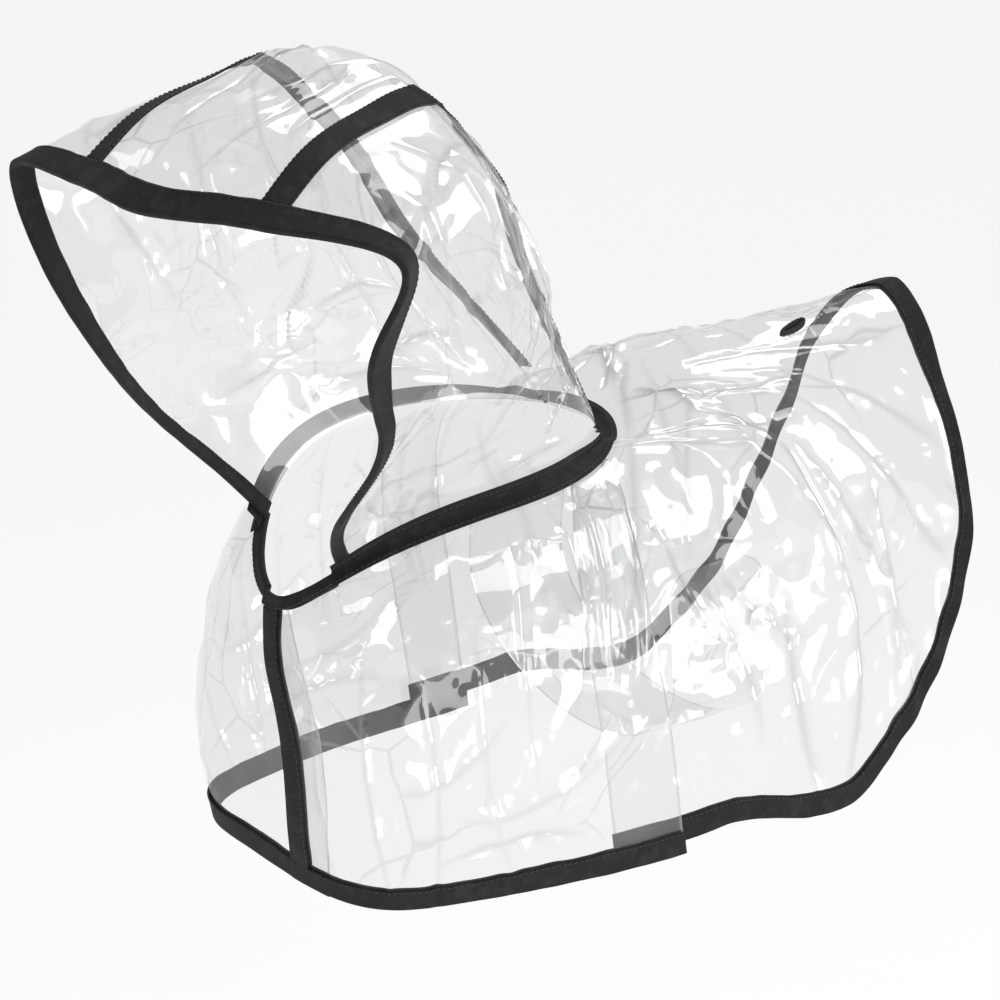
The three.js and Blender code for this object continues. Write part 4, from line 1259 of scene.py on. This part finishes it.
@dataclass
class BackPanel:
    """The saddle over back, flanks and rump, with its bound hem and leash slit.

    Attributes:
        columns: Columns of the shell on each side.
        rows: Its rows.
        hem_raised: How much higher its hem is under the fronts.
        forward: How much further forward it starts than the fronts' rear edge, round the body.
        slit_middle: The leash slit's middle, round and down the body.
        slit_line: Which way the slit runs, in the same units.
        slit_length: The slit's length.
        slit_open: The gap between its cut edges.
        slit_binding: How far its binding lies over the film.
    """

    room: Workroom
    fronts: FrontPanels
    columns: int = 190
    rows: int = 130
    hem_raised: float = 12
    forward: float = 0.085
    slit_middle: tuple[float, float] = (0.9835, 0.48)
    slit_line: tuple[float, float] = (0.011, 0.09)
    slit_length: float = 19
    slit_open: float = 3
    slit_binding: float = 1.4

    def front(self, down: Array) -> Array:
        """Returns the places of the panel's front edges."""
        return self.fronts.rear.at(down) - self.forward

    def place(self, f: Array, g: Array) -> tuple[Held, Array, Array]:
        """Finds points of the panel.

        Args:
            f: 0 at the left front edge, 1 over the tail and 2 at the right front edge.
            g: 0 at the neck and 1 at the hem.

        Returns:
            The points, their places round the body and how far down they are.
        """
        form = self.room.form
        f, g = np.asarray(f, float).ravel(), np.asarray(g, float).ravel()
        half = np.where(f > 1, 2 - f, f)
        middle = mix(self.front(np.full(f.size, 0.5)), 1.0, half)
        top = form.body_share(middle, np.zeros_like(middle), True, 2.6)
        down = mix(top, self.hem(middle), g)
        own = mix(self.front(down), 1.0, half)
        around = np.where(f > 1, -own, own)
        return form.body(around, down, 1.0), around, down

    def hem(self, middle: Array) -> Array:
        """Returns how far down the ribs the hem lies."""
        form = self.room.form
        share = form.body_share(middle, np.ones_like(middle), True, 1.0)
        return 1 - share * self.hem_raised * (1 - smooth((middle - 0.66) / 0.06))

    def slit_place(self, along: Array, aside: Array) -> Held:
        """Returns points of the back from lengths along and beside the slit."""
        per = self.slit_units()
        line = np.array([self.slit_line[0] / per[0], self.slit_line[1] / per[1]])
        line /= np.linalg.norm(line)
        around = self.slit_middle[0] + (along * line[0] - aside * line[1]) * per[0]
        down = self.slit_middle[1] + (along * line[1] + aside * line[0]) * per[1]
        return self.room.form.body(around, down, 1.0)

    def slit_units(self) -> tuple[float, float]:
        """Returns how much of each parameter a millimetre takes at the slit."""
        share = self.room.form.body_share
        around, down = self.slit_middle
        return float(share(around, down, False, 1.0)), float(share(around, down, True, 1.0))

    def shell(self) -> bpy.types.Object:
        """Builds the film, with the slit left open in it."""
        half = np.linspace(0, 1, self.columns) ** 0.85
        f = np.concatenate([half, 2 - half[-2::-1]])
        shape = (f.size, self.rows)
        ff, gg = np.meshgrid(f, np.linspace(0, 1, self.rows), indexing="ij")
        held, around, down = self.place(ff, gg)
        edge = edge_distance(held.points.reshape(*shape, 3))
        per = self.slit_units()
        line = np.array([self.slit_line[0] / per[0], self.slit_line[1] / per[1]])
        line /= np.linalg.norm(line)
        x, y = (around - self.slit_middle[0]) / per[0], (down - self.slit_middle[1]) / per[1]
        along, aside = x * line[0] + y * line[1], y * line[0] - x * line[1]
        inside = np.hypot(along / (self.slit_length / 2), aside / (self.slit_open / 2))
        edge = np.minimum(edge, np.where(inside < 4, 4.0, 99.0))
        crease_shade = crease_shade_lines(BODY_CREASES, around, down, BODY_SCALE)
        piece = self.room.film_sheet("back_panel", held, shape, edge, crease_shade, 8)
        faces = Drawing.grid_faces(*shape)
        drop = inside[faces].mean(1) < 1.25
        rim = np.setdiff1d(np.unique(faces[drop]), [])
        rim = rim[inside[rim] < 3.0]
        scale = 1.1 / np.maximum(inside[rim], 1e-6)
        moved = self.slit_place(along[rim] * scale, aside[rim] * scale)
        points = Drawing.metres(moved.points)
        for k, vertex in enumerate(rim):
            piece.data.vertices[int(vertex)].co = points[k]
        mesh = bmesh.new()
        mesh.from_mesh(piece.data)
        mesh.faces.ensure_lookup_table()
        bmesh.ops.delete(mesh, geom=[mesh.faces[int(n)] for n in np.flatnonzero(drop)], context="FACES")
        mesh.to_mesh(piece.data)
        mesh.free()
        return piece

    def hem_binding(self) -> None:
        """Builds the binding round the hem and the rump."""
        half = np.linspace(0, 1, 330)
        f = np.concatenate([half, 2 - half[-2::-1]])
        form = self.room.form
        middle = mix(self.front(np.full(f.size, 0.5)), 1.0, np.where(f > 1, 2 - f, f))
        top = form.body_share(middle, np.zeros_like(middle), True, 2.6)
        lines = []
        for inward in np.linspace(0, BINDING_WIDTH, 7):
            share = form.body_share(middle, np.ones_like(middle), True, inward) / (self.hem(middle) - top)
            lines.append(self.place(f, 1 - share)[0])
        piece = self.room.folded_binding("back_hem", lines)

    def slit_edge(self) -> None:
        """Builds the binding round the leash slit."""
        angle = np.linspace(0, 2 * math.pi, 97)[:-1]
        lines = []
        for wide in np.linspace(0, self.slit_binding, 4):
            along = (self.slit_length / 2 + wide) * np.cos(angle)
            aside = (self.slit_open / 2 + wide) * np.sin(angle)
            lines.append(self.slit_place(along, aside))
        piece = self.room.folded_binding("leash_slit_binding", lines, loop=True, height=0.8)

    def build(self) -> None:
        """Builds the panel, its binding and its slit."""
        self.shell()
        self.hem_binding()
        self.slit_edge()


@dataclass
class Hood:
    """The hood's three panels, the tapes over their seams and the face binding."""

    room: Workroom
    backs: int = 130
    side_rows: int = 110
    centre_rows: int = 96
    side_end: float = 0.985

    def second(self) -> float:
        """Returns how far back a binding's width behind the face edge is."""
        return float(self.room.form.hood_share(0.0, 0.6, False, BINDING_WIDTH))

    def seam_share(self, back: Array, length: float, limit: float) -> Array:
        """Returns a real length beside the seams as a share of the arch, up to a limit."""
        share = self.room.form.hood_share(back, np.full(np.shape(back), SEAM), True, length)
        return np.minimum(limit * (1 - SEAM), share)

    def side(self, side: Side) -> bpy.types.Object:
        """Builds one side panel's film."""
        form = self.room.form
        back, g = np.meshgrid(
            np.linspace(0, self.side_end, self.backs), np.linspace(0, 1, self.side_rows), indexing="ij"
        )
        back, g = back.ravel(), g.ravel()
        low = SEAM + self.seam_share(back, 0.3, 0.075)
        high = 1 - np.minimum(0.225, form.hood_share(back, np.ones_like(back), True, 0.8))
        across = mix(low, high, g)
        held = form.hood(back, side.value * across, 1.0)
        shape = (self.backs, self.side_rows)
        edge = edge_distance(held.points.reshape(*shape, 3))
        name = "hood_left" if side is Side.LEFT else "hood_right"
        crease_shade = crease_shade_lines(HOOD_CREASES, back, across, HOOD_SCALE)
        piece = self.room.film_sheet(name, held, shape, edge, crease_shade, 11 if side is Side.LEFT else 14)
        return piece

    def centre(self) -> bpy.types.Object:
        """Builds the middle panel's film."""
        form = self.room.form
        last = 1 - float(form.hood_share(0.98, 0.1, False, 0.8))
        back, g = np.meshgrid(
            np.linspace(0, last, self.backs), np.linspace(-1, 1, self.centre_rows), indexing="ij"
        )
        back, g = back.ravel(), g.ravel()
        across = g * (SEAM - self.seam_share(back, 0.3, 0.075))
        held = form.hood(back, across, 1.0)
        shape = (self.backs, self.centre_rows)
        edge = edge_distance(held.points.reshape(*shape, 3))
        crease_shade = crease_shade_lines(HOOD_CREASES, back, across, HOOD_SCALE)
        piece = self.room.film_sheet("hood_centre", held, shape, edge, crease_shade, 17)
        return piece

    def tape(self, side: Side) -> None:
        """Builds the tape over one hood seam."""
        form = self.room.form
        back = np.linspace(self.second() - 0.0015, 0.925, 170)
        share = self.seam_share(back, TAPE_HALF, 0.3)
        strip, normals = [], []
        for g in np.linspace(-1, 1, 7):
            held = form.hood(back, side.value * (SEAM + g * share), 1.0)
            strip.append(held.out(FILM / 2 + GAP))
            normals.append(held.normals)
        name = "hood_seam_left" if side is Side.LEFT else "hood_seam_right"
        piece = self.room.flat_tape(name, strip, normals, (0, 6))

    def face_binding(self) -> None:
        """Builds the binding round the face opening."""
        form = self.room.form
        end = 1 - float(np.minimum(0.225, form.hood_share(0.0, 1.0, True, 0.8)))
        brim = np.linspace(-0.5, 0.5, 130)[1:]
        across = np.concatenate([np.linspace(-end, -0.5, 110), brim, np.linspace(0.5, end, 110)[1:]])
        lines = [form.hood(back, across, 0.6) for back in np.linspace(0, self.second(), 7)]
        piece = self.room.folded_binding("face_binding", lines)

    def build(self) -> None:
        """Builds the whole hood."""
        for side in Side:
            self.side(side)
            self.tape(side)
        self.centre()
        self.face_binding()


@dataclass
class NeckBand:
    """The band over the seam between hood and body.

    Attributes:
        rise: How far it covers the hood.
        nape_rise: How far it covers it at the nape.
        narrowing: The degrees round the neck opening between which the one passes into the other.
        fall: How far it covers the body.
        start: Degrees from the throat where it begins.
        clear: Air under it.
        steps: Stations along it.
    """

    room: Workroom
    fronts: FrontPanels
    rise: float = 12
    nape_rise: float = 7
    narrowing: tuple[float, float] = (125, 152)
    fall: float = 10
    start: float = 33
    clear: float = 0.8
    steps: int = 240

    def on_hood(self, degrees: Array, side: Array, share: float) -> Held:
        """Returns points of the hood under the band, from the seam at 0 to the band's edge at 1."""
        form = self.room.form
        corner = HOOD_ARCHES[-1].neck
        back = form.place_where(HOOD_ARCHES, degrees, -0.1)
        narrow = smooth((degrees - self.narrowing[0]) / (self.narrowing[1] - self.narrowing[0]))
        rise = mix(self.rise, self.nape_rise, narrow)
        low = 1 - share * rise * form.hood_share(back, np.ones_like(back), True, 1.0)
        nape = 1 - share * float(form.hood_share(0.98, 0.1, False, self.nape_rise))
        top = np.maximum(SEAM * (180 - degrees) / (180 - corner), 1e-3)
        at_nape = degrees >= corner
        return form.hood(np.where(at_nape, nape, back), side * np.where(at_nape, top, low), 0.5)

    def build(self) -> None:
        """Builds the band with its two rows of stitches."""
        form = self.room.form
        turn = np.linspace(self.start, 360 - self.start, self.steps)
        side = np.where(turn > 180, -1.0, 1.0)
        degrees = np.where(turn > 180, 360 - turn, turn)
        around = side * form.place_where(form.ribs, degrees, 0)
        down = form.body_share(around, np.zeros_like(around), True, self.fall)
        front = 1 - smooth((np.abs(around) - 0.7) / 0.04)
        left = self.fronts.height(Side.LEFT, around, down)
        right = self.fronts.height(Side.RIGHT, around, down)
        own = np.where(side > 0, left, right)
        clear = FILM / 2 + self.clear
        body_height = np.maximum(own, 0) * front + clear
        upper, middle = self.on_hood(degrees, side, 1.0), self.on_hood(degrees, side, 0.5)
        lower = form.body(around, down, 0.5)
        corner = upper.normals + lower.normals
        corner /= np.linalg.norm(corner, axis=1)[:, None]
        reach = body_height / np.maximum(0.6, (corner * lower.normals).sum(1))
        x, w, z = form.neck_point(degrees)
        seam = np.stack([x, -side * w, z], 1) + corner * reach[:, None]
        stations = np.stack([upper.out(clear), middle.out(clear), seam, lower.out(body_height)], 0)
        normals = np.stack([upper.normals, middle.normals, corner, lower.normals], 0)
        shares = np.linspace(0, 1, 9)
        knots = np.array([0, 0.26, 0.54, 1.0])
        strip, turned = [], []
        for share in shares:
            line = np.stack([
                through(knots, stations[:, :, k], np.full(self.steps, share)) for k in range(3)
            ], 1)
            up = np.array([
                [np.interp(share, knots, normals[:, n, k]) for k in range(3)] for n in range(self.steps)
            ])
            strip.append(line)
            turned.append(up / np.linalg.norm(up, axis=1)[:, None])
        piece = self.room.flat_tape("neck_band", strip, turned, (1, 7))


@dataclass
class BellyBand:
    """The clear band under the belly, with its rounded tab and two snaps on the left flank.

    Attributes:
        centre: Its middle along X.
        width: Its width.
        corner: The radius of its tab's corners.
        top: The height of the tab's free end.
        sewn_top: The height of its sewn end on the right.
        leaves: Below this height it leaves the flanks.
        lowest: The height of its middle under the belly.
        depths: How far inside the plain body it lies on the left and the right.
        snaps: The snaps' nodes with their x and height.
    """

    room: Workroom
    centre: float = -6
    width: float = 62
    corner: float = 16
    top: float = -88
    sewn_top: float = -118
    leaves: float = -150
    lowest: float = -206
    depths: tuple[float, float] = (-3.9, -2.6)
    snaps: tuple[tuple[str, float, float], ...] = (("fastener_front", -20, -127), ("fastener_rear", 19, -125))

    def flank_place(self, x: Array, z: Array) -> tuple[Array, Array]:
        """Returns the places on the body whose plain surface has the given x and height."""
        form = self.room.form
        around, down = np.full(x.size, 0.7), np.full(x.size, 0.5)
        step = 1e-3
        for _ in range(12):
            p = form.plain_body(around, down)
            da = (form.plain_body(around + step, down) - p) / step
            dd = (form.plain_body(around, down + step) - p) / step
            ex, ez = x - p[:, 0], z - p[:, 2]
            det = da[:, 0] * dd[:, 2] - dd[:, 0] * da[:, 2]
            around = around + (ex * dd[:, 2] - ez * dd[:, 0]) / det
            down = down + (ez * da[:, 0] - ex * da[:, 2]) / det
        return around, down

    def flank(self, x: Array, z: Array, side: Side) -> Held:
        """Returns points of the band where it lies inside a flank."""
        around, down = self.flank_place(x, z)
        held = self.room.form.body(side.value * around, down, 0.0)
        depth = self.depths[0] if side is Side.LEFT else self.depths[1]
        return Held(held.out(depth), held.normals)

    def under(self, x: Array, share: float) -> Held:
        """Returns points of the band as it passes under the belly."""
        angle = math.pi * share
        side = Side.LEFT if share < 0.5 else Side.RIGHT
        start = self.flank(x, np.full(x.size, self.leaves), side).points
        depth = self.leaves - self.lowest
        wide = np.abs(start[:, 1])
        y = -side.value * wide * abs(math.cos(angle))
        points = np.stack([x, y, start[:, 2] - depth * math.sin(angle)], 1)
        normals = np.stack([0 * x, -math.cos(angle) * depth + 0 * x, -math.sin(angle) * wide], 1)
        return Held(points, normals / np.linalg.norm(normals, axis=1)[:, None])

    def shell(self) -> None:
        """Builds the band's film."""
        shares = np.linspace(-1, 1, 49)
        sections: list[Held] = []
        rounding = self.top - self.corner * np.linspace(0, 1, 16) ** 2
        for z in [*rounding, *np.linspace(self.top - self.corner, self.leaves, 26)[1:-1]]:
            short = max(0.0, self.corner - (self.top - z))
            half = self.width / 2 - self.corner + math.sqrt(max(0.0, self.corner**2 - short**2))
            sections.append(self.flank(self.centre + half * shares, np.full(49, z), Side.LEFT))
        whole = self.centre + self.width / 2 * shares
        sections += [self.under(whole, share) for share in np.linspace(0, 1, 90)]
        rising = np.linspace(self.leaves, self.sewn_top, 18)[1:]
        sections += [self.flank(whole, np.full(49, z), Side.RIGHT) for z in rising]
        points = np.stack([s.points for s in sections])
        held = Held(points.reshape(-1, 3), np.stack([s.normals for s in sections]).reshape(-1, 3))
        edge = edge_distance(points)
        piece = self.room.film_sheet("belly_band", held, points.shape[:2], edge, np.zeros(edge.size), 21)

    def snap(self, name: str, x: float, z: float) -> None:
        """Builds one round snap between the band and the film."""
        around, down = self.flank_place(np.array([x]), np.array([z]))
        held = self.room.form.body(around, down, 0.0)
        centre = held.out(-2.0)[0]
        turn = Vector((0, 0, 1)).rotation_difference(Vector(held.normals[0])).to_matrix()
        profile = (
            (0, 0.42), (1.6, 0.40), (2.2, 0.26), (2.9, 0.24), (3.6, 0.40), (4.4, 0.66), (5.8, 0.80),
            (6.9, 0.80), (7.5, 0.66), (7.9, 0.34), (8.0, 0.0), (7.9, -0.34), (7.5, -0.64), (6.6, -0.78),
            (4.0, -0.80), (3.4, -0.62), (1.2, -0.60), (0, -0.60),
        )
        sides = 64
        rings = []
        for radius, rise in profile:
            angle = np.linspace(0, 2 * math.pi, sides, endpoint=False)
            wide = max(radius, 0.01)
            flat = np.stack([wide * np.cos(angle), wide * np.sin(angle), 0 * angle + rise], 1)
            rings.append(flat @ np.array(turn).T + centre)
        points = np.stack(rings)
        faces = Drawing.grid_faces(len(profile), sides, False, True)
        piece = Drawing.mesh(name + "_disc", points.reshape(-1, 3), faces)
        self.room.dress(piece, self.room.finishes.snap, "snap", [name])

    def build(self) -> None:
        """Builds the band and its snaps."""
        self.shell()
        for name, x, z in self.snaps:
            self.snap(name, x, z)


@dataclass
class Studio:
    """The plain pale floor, the soft lights and the camera at the photograph's angle.

    Attributes:
        turn: Degrees that the camera stands to the coat's left front.
        rise: Degrees that it looks down.
        place: Where it stands, in metres.
        lens: Its lens in millimetres.
        floor: The floor's height.
    """

    turn: float = 32
    rise: float = 23
    place: tuple[float, float, float] = (-0.92787, -1.35687, 0.63172)
    lens: float = 118.8
    floor: float = -0.95

    def camera(self) -> None:
        """Sets the camera."""
        a, e = math.radians(self.turn), math.radians(self.rise)
        right = Vector((math.cos(a), -math.sin(a), 0))
        ahead = Vector((math.sin(a) * math.cos(e), math.cos(a) * math.cos(e), -math.sin(e)))
        up = right.cross(ahead)
        data = bpy.data.cameras.new("camera")
        data.lens, data.sensor_width = self.lens, 36
        camera = bpy.data.objects.new("camera", data)
        turned = Matrix((right, up, -ahead)).transposed().to_4x4()
        camera.matrix_world = Matrix.Translation(self.place) @ turned
        bpy.context.scene.collection.objects.link(camera)
        bpy.context.scene.camera = camera

    def light(self, name: str, place: Sequence[float], size: tuple[float, float], watts: float) -> None:
        """Adds a soft rectangular light that faces the coat."""
        data = bpy.data.lights.new(name, "AREA")
        data.shape, data.size, data.size_y, data.energy = "RECTANGLE", size[0], size[1], watts
        lamp = bpy.data.objects.new(name, data)
        lamp.location = place
        lamp.rotation_euler = (Vector((-0.06, 0, 0)) - Vector(place)).to_track_quat("-Z", "Y").to_euler()
        lamp.visible_camera = False
        bpy.context.scene.collection.objects.link(lamp)

    def build(self) -> None:
        """Sets the whole studio."""
        self.camera()
        half = 60.0
        points = np.array([[-half, -half, 0], [half, -half, 0], [half, half, 0], [-half, half, 0]]) * 1000
        points[:, 2] = self.floor * 1000 + WITHERS_HEIGHT
        floor = Drawing.mesh("floor", points, np.array([[0, 1, 2, 3]]))
        floor.data.materials.append(PaleFloor().material("pale_floor"))
        self.light("side", (1.2, -1.9, 0.95), (1.0, 1.3), 18)
        self.light("front", (-1.9, -1.1, 0.9), (0.7, 1.1), 10)
        self.light("top", (0.9, 0.8, 1.6), (1.2, 1.0), 16)
        self.light("key", (-0.5, -1.1, 2.1), (0.8, 0.7), 8)
        self.light("low", (-0.24, -1.12, -0.42), (0.62, 0.36), 3.2)
        self.light("low_side", (0.80, -1.15, -0.40), (0.40, 0.36), 2.0)
        self.light("tail", (1.9, 0.15, 0.10), (0.7, 0.6), 5.5)
        world = bpy.data.worlds.new("studio")
        world.use_nodes = True
        world.node_tree.nodes["Background"].inputs["Color"].default_value = (1, 1, 1, 1)
        world.node_tree.nodes["Background"].inputs["Strength"].default_value = 0.35
        bpy.context.scene.view_settings.view_transform = "Standard"
        bpy.context.scene.world = world


def main() -> None:
    """Builds the coat's looks on its frame."""
    logging.basicConfig(level=logging.INFO, format="%(name)s %(message)s")
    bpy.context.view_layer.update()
    Studio().build()
    room = Workroom(CoatForm(), Finishes())
    fronts = FrontPanels(room)
    fronts.build()
    BackPanel(room, fronts).build()
    Hood(room).build()
    NeckBand(room, fronts).build()
    BellyBand(room).build()


if __name__ == "__main__":
    main()
